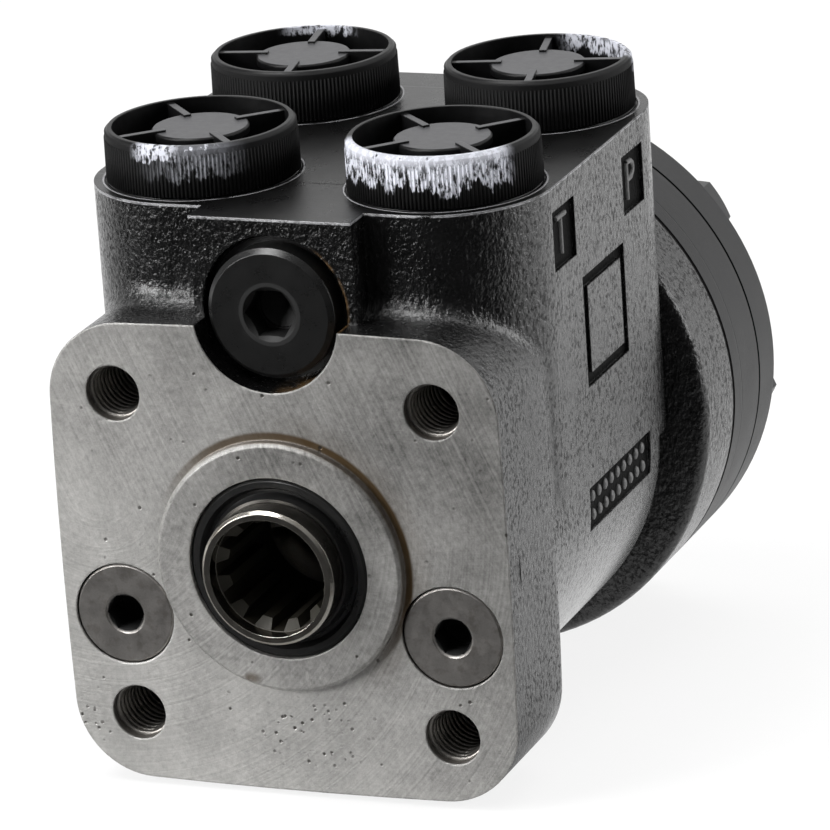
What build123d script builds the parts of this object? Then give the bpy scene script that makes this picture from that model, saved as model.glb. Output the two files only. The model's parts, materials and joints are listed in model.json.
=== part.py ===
from build123d import *
import math
import os

# Orbital steering unit: a hydrostatic steering valve with an 80 cc gerotor meter.
# Millimetres. The origin is on the input axis, in the machined mounting face.
# The input shaft looks along -Y, the gear set and end cover are at +Y, the ports open upwards.

# Mounting flange
FLANGE_HALF_WIDTH = 41.4
FLANGE_LOW = -41.4
FLANGE_HIGH = 42.2
FLANGE_BULGE = 0.8
FLANGE_CORNER_R = 14.0
FLANGE_DEPTH = 25.5
FLANGE_REAR_FILLET = 4.0
COLUMN_PCD = 82.5
COLUMN_HOLES = 4
COLUMN_HOLE_R = 5.0
COLUMN_HOLE_DEPTH = 18.0
DRILL_POINT = 118.0
COLLAR_R = 22.45
COLLAR_HEIGHT = 2.0
COLLAR_CHAMFER = 0.6

# Cast body behind the flange
PORT_X = 22.4
PORT_FRONT_Y = 30.0
PORT_REAR_Y = 77.3
BOSS_R = 19.1
BLOCK_TOP = 60.0
NECK_R = 37.0
NECK_FRONT_Y = 83.0
SHOULDER_ROUND = 5.0
DRUM_R = 46.9
DRUM_FRONT_Y = 87.5
DRUM_EDGE_R = 1.6
HOUSING_REAR_Y = 103.0
WEB_HALF_WIDTH = 14.8
WEB_FRONT_Y = 5.0
WEB_FOOT_Z = 30.0
FOOT_FILLET = 4.0
JOINT_SETBACK = 1.0

# Cast marks on the two sides, as recesses in the wall
MARK_DEPTH = 0.8
MARK_FRONT = (35.1, 50.3)
MARK_REAR = (70.4, 49.8)
MARK_SIZE = (10.8, 10.6)
FRAME_CENTRE = (53.1, 30.2)
FRAME_SIZE = (21.2, 20.0)
FRAME_WIDTH = 2.2
PLATE_CENTRE = (56.0, -1.4)
PLATE_SIZE = (32.0, 8.0)

# Threaded ports and the passages below them
PORT_R = 10.48
PORT_DEPTH = 16.0
PASSAGE_R = 2.6
PASSAGE_X = 17.5
GROOVE_R = 21.6
GROOVE_WIDTH = 6.0
GROOVE_T_Y = 30.0
GROOVE_L_Y = 38.0
GROOVE_R_Y = 70.0
GROOVE_P_Y = 79.5

# Bore, seals and thrust bearing
BORE_R = 19.0
RUNNING_GAP = 0.05
SEAL_SEAT_R = 16.35
SEAL_SEAT_DEPTH = 2.6
LAND_R = 12.7
LAND_REAR_Y = 4.4
SHAFT_SEAL_POCKET_R = 16.0
SHOULDER_Y = 10.4
SHAFT_SEAL_WIDTH = 4.2
SHAFT_SEAL_WALL = 1.8
RACE_THICKNESS = 1.8
NEEDLE_R = 1.0
NEEDLE_LENGTH = 4.2
NEEDLES = 12
CAGE_THICKNESS = 1.4
BEARING_OUTER_R = 18.7
BEARING_INNER_R = 12.5

# Spool and sleeve
NECK_SPOOL_R = 12.075
NECK_FRONT = -7.0
SPOOL_R = 14.0
SPOOL_REAR_Y = 95.0
SPOOL_BORE_R = 11.2
SPLINE_TEETH = 12
SPLINE_TIP_R = 8.9
SPLINE_ROOT_R = 10.5
SPLINE_MOUTH_DEPTH = 2.8
SPLINE_LENGTH = 17.0
SOCKET_END_Y = 20.0
SLEEVE_REAR_Y = 97.5
SPRING_Y = 27.0
SPRING_WIDTH = 7.0
SPRING_SLOT_GAP = 0.2
LEAF_THICKNESS = 0.6
LEAF_GAP = 0.05
LEAF_SAG = 0.6
FLAT_LEAVES = 2
ARCHED_LEAVES = 2
SPRING_RING_WALL = 0.45
SPRING_RING_WIDTH = 8.6
PIN_Y = 40.0
PIN_R = 3.95
PIN_HALF_LENGTH = 18.6
DEFLECTION_LIMIT = 8.0
SLEEVE_ROWS = (52.0, 58.0, 84.0, 91.0)
SLEEVE_ROW_HOLES = 6
SLEEVE_HOLE_R = 1.6
SPOOL_GROOVES = 6
SPOOL_GROOVE_WIDTH = 3.0
SPOOL_GROOVE_DEPTH = 1.0
SPOOL_GROOVE_FRONT_Y = 50.0
SPOOL_GROOVE_REAR_Y = 88.0

# Gerotor set: seven lobes outside, six inside
ROTOR_LOBES = 6
ECCENTRICITY = 3.2
LOBE_CIRCLE_INSET = 8.4
LOBE_CIRCLE_R = DRUM_R - LOBE_CIRCLE_INSET
LOBE_R = 9.5
ROTOR_CLEARANCE = 0.08
CHAMBER_GAP = 0.3
CHAMBER_FILLET = 2.0
PLATE_THICKNESS = 4.6
GEAR_WIDTH = 10.3
SIDE_GAP = 0.05
ARCS_PER_LOBE = 8
METER_PORT_R = 2.5
METER_PORT_INNER = 27.5
METER_PORT_OUTER = 31.5
METER_DRILL_Y = 88.0
PLATE_HOLE_R = 12.2

# Cardan shaft and spacer
FORK_R = 9.0
FORK_FRONT_Y = 32.0
FORK_REAR_Y = 50.0
FORK_SLOT_GAP = 0.15
SHANK_R = 7.0
HEAD_TEETH = 12
HEAD_TIP_R = 10.0
HEAD_ROOT_R = 8.4
HEAD_WIDTH = 6.2
HEAD_FRONT_GAP = 0.7
HEAD_CROWN = 0.35
HEAD_RADIAL_GAP = 0.35
HEAD_SIDE_GAP = 0.27
SPACER_R = 8.3
SPACER_GAP = 0.7

# End cover and its screws
COVER_THICKNESS = 9.4
COVER_CHAMFER = 0.8
SCREW_R = 3.9
SCREW_HOLE_R = 4.25
SCREW_THREAD_GAP = 0.06
SCREW_END_Y = 91.0
SCREW_HOLE_END_Y = 89.5
SCREW_END_CHAMFER = 0.8
SCREW_SPIGOT_STEP = 1.2
SCREW_SPIGOT_LENGTH = 4.0
SCREW_HEAD_AF = 13.0
SCREW_HEAD_HEIGHT = 5.3
WASHER_R = 7.3
WASHER_THICKNESS = 1.0
STACK_RING_INSET = 2.0
STACK_RING_R = DRUM_R - STACK_RING_INSET
STACK_GROOVE_DEPTH = 1.3
STACK_GROOVE_HALF_WIDTH = 0.8
STACK_RING_GAP = 0.02
O_RING_SIDES = 8

# Suction and check valves in the rear face
VALVE_CIRCLE_INSET = 1.7
VALVE_CIRCLE_R = LOBE_CIRCLE_R - VALVE_CIRCLE_INSET
VALVE_HOLE_R = 3.9
VALVE_HOLE_END_Y = 91.0
VALVE_BALL_R = 3.5
VALVE_SEAT_R = 2.2
VALVE_SEAT_END_Y = 88.8
VALVE_DRILL_R = 1.8
ROLL_PIN_WALL = 1.2
VALVE_PIN_GAP = 1.3

# Relief valve over the input axis
RELIEF_Z = 44.0
SPOT_FACE_R = 13.2
SPOT_FACE_Y = 8.6
RELIEF_HEAD_R = 11.5
RELIEF_HEAD_Y = 2.5
RELIEF_THREAD_R = 9.0
RELIEF_PLUG_END_Y = 19.0
RELIEF_HEX_AF = 8.0
BONDED_THICKNESS = 1.0
BONDED_R = 12.6
RELIEF_CAVITY_Y = 23.0
RELIEF_BORE_R = 6.5
ADJUSTER_FRONT_Y = 24.0
ADJUSTER_REAR_Y = 32.0
ADJUSTER_HEX_AF = 5.0
POPPET_FRONT_Y = 46.0
POPPET_HEAD_R = 5.4
POPPET_STEM_R = 3.0
SEAT_FRONT_Y = 52.2
SEAT_REAR_Y = 56.0
SEAT_HOLE_R = 2.3
RELIEF_SPRING_R = 4.0
RELIEF_WIRE_R = 0.7
RELIEF_TURNS = 6

# Shock valves beside the input axis
SHOCK_X = 30.3
SHOCK_Z = -11.0
SHOCK_HEAD_R = 8.95
SHOCK_SPOT_R = 9.2
SHOCK_SPOT_Y = 6.0
SHOCK_THREAD_R = 8.0
SHOCK_THREAD_END_Y = 15.0
SHOCK_RECESS = 0.1
SHOCK_HEX_AF = 6.0
SHOCK_BORE_R = 4.6
SHOCK_SEAT_Y = 34.0
SHOCK_PASSAGE_END_Y = 42.0
SHOCK_SPRING_R = 3.2
SHOCK_WIRE_R = 0.55
SHOCK_TURNS = 6
SHOCK_RING_WIRE_R = 0.7
THREAD_GAP = 0.06

# Transit caps in the ports
CAP_R = 16.65
CAP_GAP = 0.3
CAP_HEIGHT = 9.0
CAP_WALL = 1.3
CAP_FLOOR = 1.6
CAP_DISC_R = 8.5
CAP_DISC_DROP = 0.9
CAP_DISC_THICKNESS = 1.4
CAP_TUBE_R = 7.0
CAP_TUBE_WALL = 1.4
CAP_SPOKES = 4
CAP_SPOKE_WIDTH = 1.3
CAP_SPOKE_DROP = 0.5
CAP_PLUG_GAP = 0.3
CAP_PLUG_LENGTH = 12.0
CAP_ANGLES = {"l": 42.7, "t": 46.0, "r": 10.0, "p": 12.6}

# Places that follow from the sizes above
PLATE_REAR_Y = HOUSING_REAR_Y + PLATE_THICKNESS
GEAR_REAR_Y = PLATE_REAR_Y + GEAR_WIDTH
COVER_REAR_Y = GEAR_REAR_Y + COVER_THICKNESS
RING_LOBES = ROTOR_LOBES + 1
LOBE_STEP = 360 / RING_LOBES
FIRST_LOBE_ANGLE = 90.0
OUTER_RACE_Y = SHOULDER_Y
CAGE_Y = OUTER_RACE_Y + RACE_THICKNESS + RUNNING_GAP
INNER_RACE_Y = CAGE_Y + 2 * NEEDLE_R + RUNNING_GAP
SLEEVE_FRONT_Y = INNER_RACE_Y + RACE_THICKNESS
SPOOL_SHOULDER_Y = SLEEVE_FRONT_Y + RUNNING_GAP
SLEEVE_R = BORE_R - RUNNING_GAP
SLEEVE_BORE_R = SPOOL_R + RUNNING_GAP
HEAD_FRONT_Y = PLATE_REAR_Y + HEAD_FRONT_GAP
HEAD_MIDDLE_Y = HEAD_FRONT_Y + HEAD_WIDTH / 2
CARDAN_REACH = math.hypot(HEAD_MIDDLE_Y - PIN_Y, ECCENTRICITY)
CARDAN_TILT = math.degrees(math.asin(ECCENTRICITY / CARDAN_REACH))
ROTOR_X = ECCENTRICITY * math.cos(math.radians(FIRST_LOBE_ANGLE))
ROTOR_Z = ECCENTRICITY * math.sin(math.radians(FIRST_LOBE_ANGLE))
SCREW_ANGLES = [FIRST_LOBE_ANGLE + LOBE_STEP * step for step in range(RING_LOBES)]
VALVE_ANGLES = [angle + LOBE_STEP / 2 for angle in SCREW_ANGLES]
CHECK_ANGLE = VALVE_ANGLES[3]
SUCTION_ANGLES = {"left": VALVE_ANGLES[2], "right": VALVE_ANGLES[4]}
PORTS = {
    "l": (-PORT_X, PORT_FRONT_Y, GROOVE_L_Y),
    "t": (PORT_X, PORT_FRONT_Y, GROOVE_T_Y),
    "r": (-PORT_X, PORT_REAR_Y, GROOVE_R_Y),
    "p": (PORT_X, PORT_REAR_Y, GROOVE_P_Y),
}
CAP_BASE_Z = BLOCK_TOP + CAP_GAP


def polar(radius, angle):
    """Give x and z of a point on a circle round the input axis, seen from the front."""
    return radius * math.cos(math.radians(angle)), radius * math.sin(math.radians(angle))


def turned(outline, x=0.0, z=0.0):
    """Turn a closed outline of (radius, y) points round the line through x and z."""
    return Pos(x, 0, z) * revolve(make_face(Polyline(*outline, close=True)), Axis.Y)


def rod(radius, y_start, y_end, x=0.0, z=0.0):
    """Make a round bar along Y."""
    bar = Cylinder(radius, y_end - y_start, align=(Align.CENTER, Align.CENTER, Align.MIN))
    return Pos(x, y_start, z) * Rot(-90, 0, 0) * bar


def tube(outer_r, inner_r, y_start, y_end, x=0.0, z=0.0):
    """Make a plain ring along Y."""
    ring = [(inner_r, y_start), (outer_r, y_start), (outer_r, y_end), (inner_r, y_end)]
    return turned(ring, x, z)


def prism(outline, y_start, y_end):
    """Push an outline drawn in x and z along Y."""
    return extrude(Plane.XZ.offset(-y_start) * outline, -(y_end - y_start))


def o_ring(mean_r, wire_r, y, x=0.0, z=0.0):
    """Make a rubber ring as it lies squeezed in its groove, flat where it is pressed."""
    section = Pos(mean_r, y) * RegularPolygon(wire_r, O_RING_SIDES, major_radius=False)
    section = Pos(mean_r, y) * Rot(0, 0, 180 / O_RING_SIDES) * Pos(-mean_r, -y) * section
    return Pos(x, 0, z) * revolve(section, Axis.Y)


def hex_socket(across_flats, y_face, depth, x, z):
    """Make the hollow of a hexagon socket with its turned mouth and drilled end."""
    corner_r = across_flats / math.sqrt(3)
    hexagon = RegularPolygon(across_flats / 2, 6, major_radius=False)
    hollow = prism(Pos(x, z) * hexagon, y_face, y_face + depth)
    mouth = turned([(0, y_face), (corner_r + 0.25, y_face), (0, y_face + corner_r + 0.25)], x, z)
    drill_r = across_flats / 2 - 0.1
    end = turned([(0, y_face), (drill_r, y_face), (drill_r, y_face + depth + 0.6),
                  (0, y_face + depth + 0.6 + drill_r * 0.6)], x, z)
    return hollow + mouth + end


def drilled_hole(radius, y_face, depth, x, z):
    """Make the hollow of a blind drilled hole with its point."""
    point = radius / math.tan(math.radians(DRILL_POINT / 2))
    floor_y = y_face + depth
    return turned([(0, y_face), (radius, y_face), (radius, floor_y), (0, floor_y + point)], x, z)


def slant_drill(radius, start, end, angle):
    """Make a straight drilling between two (radius, y) places on one side of the axis."""
    run = math.hypot(end[0] - start[0], end[1] - start[1])
    lean = math.degrees(math.atan2(end[0] - start[0], end[1] - start[1]))
    bar = Cylinder(radius, run, align=(Align.CENTER, Align.CENTER, Align.MIN))
    return Rot(0, -angle, 0) * Pos(start[0], start[1], 0) * Rot(0, 0, -lean) * Rot(-90, 0, 0) * bar


def coil_spring(mean_r, wire_r, turns, y_start, y_end, x, z):
    """Wind a compression spring along Y between two seats."""
    length = y_end - y_start - 2 * wire_r
    path = Helix(length / turns, length, mean_r)
    section = Plane(origin=path @ 0, z_dir=path % 0) * RegularPolygon(wire_r, 6)
    return Pos(x, y_start + wire_r, z) * Rot(-90, 0, 0) * sweep(section, path=path)


def spline_outline(teeth, tip_r, root_r, tip_share, root_share):
    """Draw a straight-flanked spline; the shares are of one pitch, at the tip and at the root."""
    pitch = 360 / teeth
    points = []
    for tooth in range(teeth):
        middle = tooth * pitch
        points.append(polar(root_r, middle - pitch * root_share / 2))
        points.append(polar(tip_r, middle - pitch * tip_share / 2))
        points.append(polar(tip_r, middle + pitch * tip_share / 2))
        points.append(polar(root_r, middle + pitch * root_share / 2))
    return make_face(Polyline(*points, close=True))


# Housing

def flange_outline():
    """Draw the mounting face: a square with slightly bulged sides and round corners."""
    right, low, high = FLANGE_HALF_WIDTH, FLANGE_LOW, FLANGE_HIGH
    inset = FLANGE_BULGE
    middle = (low + high) / 2
    corners = [(right - inset, low + inset), (right - inset, high - inset),
               (inset - right, high - inset), (inset - right, low + inset)]
    crowns = [(right, middle), (0, high), (-right, middle), (0, low)]
    sides = Curve()
    for side in range(4):
        sides += ThreePointArc(corners[side], crowns[side], corners[(side + 1) % 4])
    outline = make_face(sides)
    return fillet(outline.vertices(), FLANGE_CORNER_R)


def block_outline():
    """Draw the plan of the port block, tangent to its four bosses."""
    length = PORT_REAR_Y - PORT_FRONT_Y
    middle = (PORT_REAR_Y + PORT_FRONT_Y) / 2
    plan = Pos(0, middle) * Rectangle(2 * (PORT_X + BOSS_R), length)
    plan += Pos(0, middle) * Rectangle(2 * PORT_X, length + 2 * BOSS_R)
    for x, y, _ in PORTS.values():
        plan += Pos(x, y) * Circle(BOSS_R)
    return plan


def casting():
    """Join the flange, barrel, drum, port block and web before any machining."""
    flange = prism(flange_outline(), 0, FLANGE_DEPTH)
    rear_edges = flange.edges().group_by(Axis.Y)[-1]
    flange = fillet(rear_edges, FLANGE_REAR_FILLET)
    body_r = PORT_X + BOSS_R
    shoulder_y = NECK_FRONT_Y - SHOULDER_ROUND
    barrel = make_face(Polyline((0, WEB_FRONT_Y), (body_r, WEB_FRONT_Y), (body_r, shoulder_y),
                                (NECK_R, NECK_FRONT_Y), (NECK_R, DRUM_FRONT_Y), (DRUM_R, DRUM_FRONT_Y),
                                (DRUM_R, HOUSING_REAR_Y), (0, HOUSING_REAR_Y), close=True))
    shoulder = [v for v in barrel.vertices() if v.X > body_r - 1 and abs(v.Y - shoulder_y) < 1]
    barrel = fillet(shoulder, SHOULDER_ROUND)
    drum_edge = [v for v in barrel.vertices() if v.X > DRUM_R - 1 and abs(v.Y - DRUM_FRONT_Y) < 1]
    barrel = fillet(drum_edge, DRUM_EDGE_R)
    body = revolve(barrel, Axis.Y)
    block = extrude(block_outline(), BLOCK_TOP)
    web_depth = PORT_FRONT_Y - WEB_FRONT_Y
    web = Pos(0, WEB_FRONT_Y, WEB_FOOT_Z) * Box(2 * WEB_HALF_WIDTH, web_depth, BLOCK_TOP - WEB_FOOT_Z,
                                                align=(Align.CENTER, Align.MIN, Align.MIN))
    return fillet_feet(flange + body + block + web)


def fillet_feet(body):
    """Round the concave corner where the front bosses rise from the flange."""
    boss_front_y = PORT_FRONT_Y - BOSS_R
    feet = []
    for edge in body.edges():
        box = edge.bounding_box()
        level = FLANGE_HIGH - 1 < box.min.Z and box.max.Z < FLANGE_HIGH
        if level and boss_front_y - 0.1 < box.min.Y and box.max.Y < boss_front_y + 1:
            feet.append(edge)
    return fillet(feet, FOOT_FILLET)


def bore_hollow():
    """Make the stepped bore for the seals, the bearing and the sleeve, with its ring grooves."""
    hollow = turned([(0, -COLLAR_HEIGHT), (SEAL_SEAT_R, -COLLAR_HEIGHT), (SEAL_SEAT_R, SEAL_SEAT_DEPTH),
                     (LAND_R, SEAL_SEAT_DEPTH), (LAND_R, LAND_REAR_Y), (SHAFT_SEAL_POCKET_R, LAND_REAR_Y),
                     (SHAFT_SEAL_POCKET_R, SHOULDER_Y), (BORE_R, SHOULDER_Y), (BORE_R, HOUSING_REAR_Y),
                     (0, HOUSING_REAR_Y)])
    for _, _, groove_y in PORTS.values():
        hollow += rod(GROOVE_R, groove_y - GROOVE_WIDTH / 2, groove_y + GROOVE_WIDTH / 2)
    return hollow


def port_hollow(x, y, groove_y):
    """Make one threaded port with the passage that drops from it to its ring groove."""
    port = Pos(x, y, BLOCK_TOP) * Cylinder(PORT_R, PORT_DEPTH, align=(Align.CENTER, Align.CENTER, Align.MAX))
    side = math.copysign(PASSAGE_X, x)
    passage = Pos(side, groove_y, BLOCK_TOP - PORT_DEPTH / 2)
    reach = BLOCK_TOP - PORT_DEPTH / 2 - BORE_R / 2
    return port + passage * Cylinder(PASSAGE_R, reach, align=(Align.CENTER, Align.CENTER, Align.MAX))


def relief_hollow():
    """Make the spot face, tapped cavity and bore of the relief valve."""
    hollow = turned([(0, 0), (SPOT_FACE_R, 0), (SPOT_FACE_R, SPOT_FACE_Y), (RELIEF_THREAD_R, SPOT_FACE_Y),
                     (RELIEF_THREAD_R, RELIEF_CAVITY_Y), (RELIEF_BORE_R, RELIEF_CAVITY_Y),
                     (RELIEF_BORE_R, SEAT_REAR_Y), (0, SEAT_REAR_Y)], 0, RELIEF_Z)
    drop_y = SEAT_REAR_Y + PASSAGE_R + 1
    feed = rod(SEAT_HOLE_R, SEAT_REAR_Y, drop_y, 0, RELIEF_Z)
    drop = Pos(0, drop_y, RELIEF_Z) * Cylinder(PASSAGE_R, RELIEF_Z - BORE_R + 1,
                                               align=(Align.CENTER, Align.CENTER, Align.MAX))
    return hollow + feed + drop


def shock_hollow(side):
    """Make the cavity of one shock valve with its drilling to the bore."""
    x = side * SHOCK_X
    hollow = turned([(0, 0), (SHOCK_SPOT_R, 0), (SHOCK_SPOT_R, SHOCK_SPOT_Y), (SHOCK_THREAD_R, SHOCK_SPOT_Y),
                     (SHOCK_THREAD_R, SHOCK_THREAD_END_Y + 1), (SHOCK_BORE_R, SHOCK_THREAD_END_Y + 1),
                     (SHOCK_BORE_R, SHOCK_SEAT_Y), (VALVE_SEAT_R, SHOCK_SEAT_Y),
                     (VALVE_SEAT_R, SHOCK_PASSAGE_END_Y), (0, SHOCK_PASSAGE_END_Y)], x, SHOCK_Z)
    return hollow


def rear_hollows():
    """Make the tapped holes, meter drillings, valve holes and ring groove of the rear face."""
    hollow = tube(STACK_RING_R + STACK_GROOVE_HALF_WIDTH, STACK_RING_R - STACK_GROOVE_HALF_WIDTH,
                  HOUSING_REAR_Y - STACK_GROOVE_DEPTH, HOUSING_REAR_Y)
    for angle in SCREW_ANGLES:
        hollow += rod(SCREW_R + SCREW_THREAD_GAP, SCREW_HOLE_END_Y, HOUSING_REAR_Y,
                      *polar(LOBE_CIRCLE_R, angle))
    for angle in VALVE_ANGLES:
        hollow += slant_drill(METER_PORT_R, (BORE_R - 1, METER_DRILL_Y),
                              (METER_PORT_INNER, HOUSING_REAR_Y + 1), angle)
    for angle in [CHECK_ANGLE, *SUCTION_ANGLES.values()]:
        hollow += rod(VALVE_HOLE_R, VALVE_HOLE_END_Y, HOUSING_REAR_Y, *polar(VALVE_CIRCLE_R, angle))
        hollow += rod(VALVE_SEAT_R, VALVE_SEAT_END_Y, VALVE_HOLE_END_Y, *polar(VALVE_CIRCLE_R, angle))
        hollow += slant_drill(VALVE_DRILL_R, (BORE_R, GROOVE_P_Y), (VALVE_CIRCLE_R, VALVE_SEAT_END_Y + 1),
                              angle)
    return hollow


def side_mark(side, centre, size, depth):
    """Make a shallow rectangular recess in a side wall."""
    wall_x = PORT_X + BOSS_R
    return Pos(side * wall_x, centre[0], centre[1]) * Box(2 * depth, size[0], size[1])


def side_marks(side):
    """Make the recesses of one side: two port marks, a framed pad and a number plate."""
    marks = side_mark(side, MARK_FRONT, MARK_SIZE, MARK_DEPTH)
    marks += side_mark(side, MARK_REAR, MARK_SIZE, MARK_DEPTH)
    marks += side_mark(side, PLATE_CENTRE, PLATE_SIZE, MARK_DEPTH)
    pad_size = (FRAME_SIZE[0] - 2 * FRAME_WIDTH, FRAME_SIZE[1] - 2 * FRAME_WIDTH)
    frame = side_mark(side, FRAME_CENTRE, FRAME_SIZE, MARK_DEPTH)
    frame -= side_mark(side, FRAME_CENTRE, pad_size, 2 * MARK_DEPTH)
    return marks + frame


def make_housing():
    """Machine the casting, and store it as flange, valve block and drum that meet face to face."""
    housing = casting()
    collar = rod(COLLAR_R, -COLLAR_HEIGHT, 1)
    housing += chamfer(collar.edges().group_by(Axis.Y)[0], COLLAR_CHAMFER)
    housing -= bore_hollow()
    for x, y, groove_y in PORTS.values():
        housing -= port_hollow(x, y, groove_y)
    housing -= relief_hollow()
    for side in (-1, 1):
        housing -= shock_hollow(side)
        housing -= side_marks(side)
    for corner in range(COLUMN_HOLES):
        x, z = polar(COLUMN_PCD / 2, 45 + 90 * corner)
        housing -= drilled_hole(COLUMN_HOLE_R, 0, COLUMN_HOLE_DEPTH, x, z)
    housing -= rear_hollows()
    joints = [-COLLAR_HEIGHT, FLANGE_DEPTH + JOINT_SETBACK, DRUM_FRONT_Y, HOUSING_REAR_Y]
    blocks = []
    for front, rear in zip(joints, joints[1:]):
        reach = 2 * BLOCK_TOP
        slab = Pos(0, front, 0) * Box(2 * reach, rear - front, 2 * reach,
                                      align=(Align.CENTER, Align.MIN, Align.CENTER))
        blocks.append((housing & slab).solid())
    return Compound(children=blocks)


# Seals and thrust bearing

def make_dust_seal():
    """Make the rubber wiper in the collar, with its lip on the spool neck."""
    lip_r = NECK_SPOOL_R + RUNNING_GAP
    outer_r = SEAL_SEAT_R - RUNNING_GAP
    return turned([(outer_r, SEAL_SEAT_DEPTH - 0.2), (outer_r, -1.1), (outer_r - 0.7, -1.8),
                   (outer_r - 1.7, -1.8),
                   (outer_r - 2.4, -0.5), (outer_r - 3.0, -0.5), (lip_r + 0.6, -2.5), (lip_r, -2.3),
                   (lip_r + 0.9, 1.0), (lip_r + 0.9, SEAL_SEAT_DEPTH - 0.2)])


def make_shaft_seal():
    """Make the slide ring that seals on the spool neck."""
    start = LAND_REAR_Y + 0.4
    inner_r = NECK_SPOOL_R + RUNNING_GAP
    return tube(inner_r + SHAFT_SEAL_WALL, inner_r, start, start + SHAFT_SEAL_WIDTH)


def make_shaft_o_ring():
    """Make the ring that presses the slide ring from outside."""
    inner_r = NECK_SPOOL_R + RUNNING_GAP + SHAFT_SEAL_WALL
    mean_r = (inner_r + SHAFT_SEAL_POCKET_R) / 2
    wire_r = (SHAFT_SEAL_POCKET_R - inner_r) / 2 - 0.02
    return o_ring(mean_r, wire_r, LAND_REAR_Y + 0.4 + SHAFT_SEAL_WIDTH / 2)


def make_outer_race():
    """Make the bearing race that rests on the housing shoulder."""
    return tube(BEARING_OUTER_R, BEARING_INNER_R, OUTER_RACE_Y, OUTER_RACE_Y + RACE_THICKNESS)


def make_inner_race():
    """Make the bearing race that turns with the sleeve."""
    return tube(BEARING_OUTER_R, BEARING_INNER_R, INNER_RACE_Y, INNER_RACE_Y + RACE_THICKNESS)


def needle(angle, growth=0.0):
    """Place one radial needle of the thrust bearing, or its pocket."""
    middle_r = (BEARING_OUTER_R + BEARING_INNER_R) / 2
    roller = Rot(0, 90, 0) * Cylinder(NEEDLE_R + growth, NEEDLE_LENGTH + 2 * growth)
    return Rot(0, -angle, 0) * Pos(middle_r, CAGE_Y + NEEDLE_R, 0) * roller


def make_needle_cage():
    """Make the cage and its needles, a loose set that turns between the races."""
    start = CAGE_Y + NEEDLE_R - CAGE_THICKNESS / 2
    cage = tube(BEARING_OUTER_R - 0.2, BEARING_INNER_R + 0.2, start, start + CAGE_THICKNESS)
    rollers = []
    for step in range(NEEDLES):
        angle = step * 360 / NEEDLES
        cage -= needle(angle, 0.05)
        rollers.append(needle(angle))
    return Compound(children=[cage, *rollers])


# Spool, sleeve and the centring set

def spring_slot(half_thickness):
    """Make the slot across the axis that holds the leaf springs."""
    slot = Box(3 * BORE_R, SPRING_WIDTH + 2 * SPRING_SLOT_GAP, 2 * half_thickness)
    return Pos(0, SPRING_Y, 0) * slot


def leaf_pack_half_thickness():
    """Give half the thickness of the leaf pack at its ends."""
    leaves = FLAT_LEAVES / 2 + ARCHED_LEAVES
    return leaves * (LEAF_THICKNESS + LEAF_GAP) + LEAF_SAG


def make_spool():
    """Make the control spool: spline socket, neck, leaf slot, pin holes and control grooves."""
    mouth_r = SPLINE_ROOT_R + RUNNING_GAP
    socket_start = NECK_FRONT + SPLINE_MOUTH_DEPTH
    spool = turned([(mouth_r, NECK_FRONT), (NECK_SPOOL_R - 0.5, NECK_FRONT),
                    (NECK_SPOOL_R, NECK_FRONT + 0.5),
                    (NECK_SPOOL_R, SPOOL_SHOULDER_Y), (SPOOL_R, SPOOL_SHOULDER_Y), (SPOOL_R, SPOOL_REAR_Y),
                    (SPOOL_BORE_R, SPOOL_REAR_Y), (SPOOL_BORE_R, SOCKET_END_Y), (mouth_r, SOCKET_END_Y)])
    teeth = tube(mouth_r + 0.2, SPLINE_TIP_R - 1, socket_start, socket_start + SPLINE_LENGTH)
    teeth -= prism(spline_outline(SPLINE_TEETH, SPLINE_ROOT_R, SPLINE_TIP_R, 0.42, 0.62),
                   socket_start, socket_start + SPLINE_LENGTH)
    lead_in = turned([(0, socket_start), (mouth_r, socket_start),
                      (SPLINE_TIP_R, socket_start + mouth_r - SPLINE_TIP_R),
                      (0, socket_start + mouth_r - SPLINE_TIP_R)])
    spool += teeth - lead_in
    spool -= spring_slot(leaf_pack_half_thickness() + LEAF_GAP)
    pin_hole_r = PIN_R + SPOOL_R * math.sin(math.radians(DEFLECTION_LIMIT)) + 0.2
    spool -= Pos(0, PIN_Y, 0) * Rot(0, 90, 0) * Cylinder(pin_hole_r, 2 * BORE_R)
    groove_length = SPOOL_GROOVE_REAR_Y - SPOOL_GROOVE_FRONT_Y
    for step in range(SPOOL_GROOVES):
        groove = Box(2 * SPOOL_GROOVE_DEPTH, groove_length, SPOOL_GROOVE_WIDTH)
        middle = (SPOOL_GROOVE_REAR_Y + SPOOL_GROOVE_FRONT_Y) / 2
        spool -= Rot(0, -step * 360 / SPOOL_GROOVES, 0) * Pos(SPOOL_R, middle, 0) * groove
    return spool


def make_sleeve():
    """Make the rotating sleeve round the spool, with its rows of holes."""
    sleeve = tube(SLEEVE_R, SLEEVE_BORE_R, SLEEVE_FRONT_Y, SLEEVE_REAR_Y)
    sleeve -= spring_slot(leaf_pack_half_thickness() + LEAF_GAP)
    ring_seat = SLEEVE_R - SPRING_RING_WALL - 2 * RUNNING_GAP
    ring_half = SPRING_RING_WIDTH / 2 + RUNNING_GAP
    sleeve -= tube(SLEEVE_R + 1, ring_seat, SPRING_Y - ring_half, SPRING_Y + ring_half)
    sleeve -= Pos(0, PIN_Y, 0) * Rot(0, 90, 0) * Cylinder(PIN_R + RUNNING_GAP, 3 * BORE_R)
    for row in SLEEVE_ROWS:
        for step in range(SLEEVE_ROW_HOLES // 2):
            angle = 30 + step * 360 / SLEEVE_ROW_HOLES
            hole = Pos(0, row, 0) * Rot(0, 90, 0) * Cylinder(SLEEVE_HOLE_R, 3 * BORE_R)
            sleeve -= Rot(0, -angle, 0) * hole
    return sleeve


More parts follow.
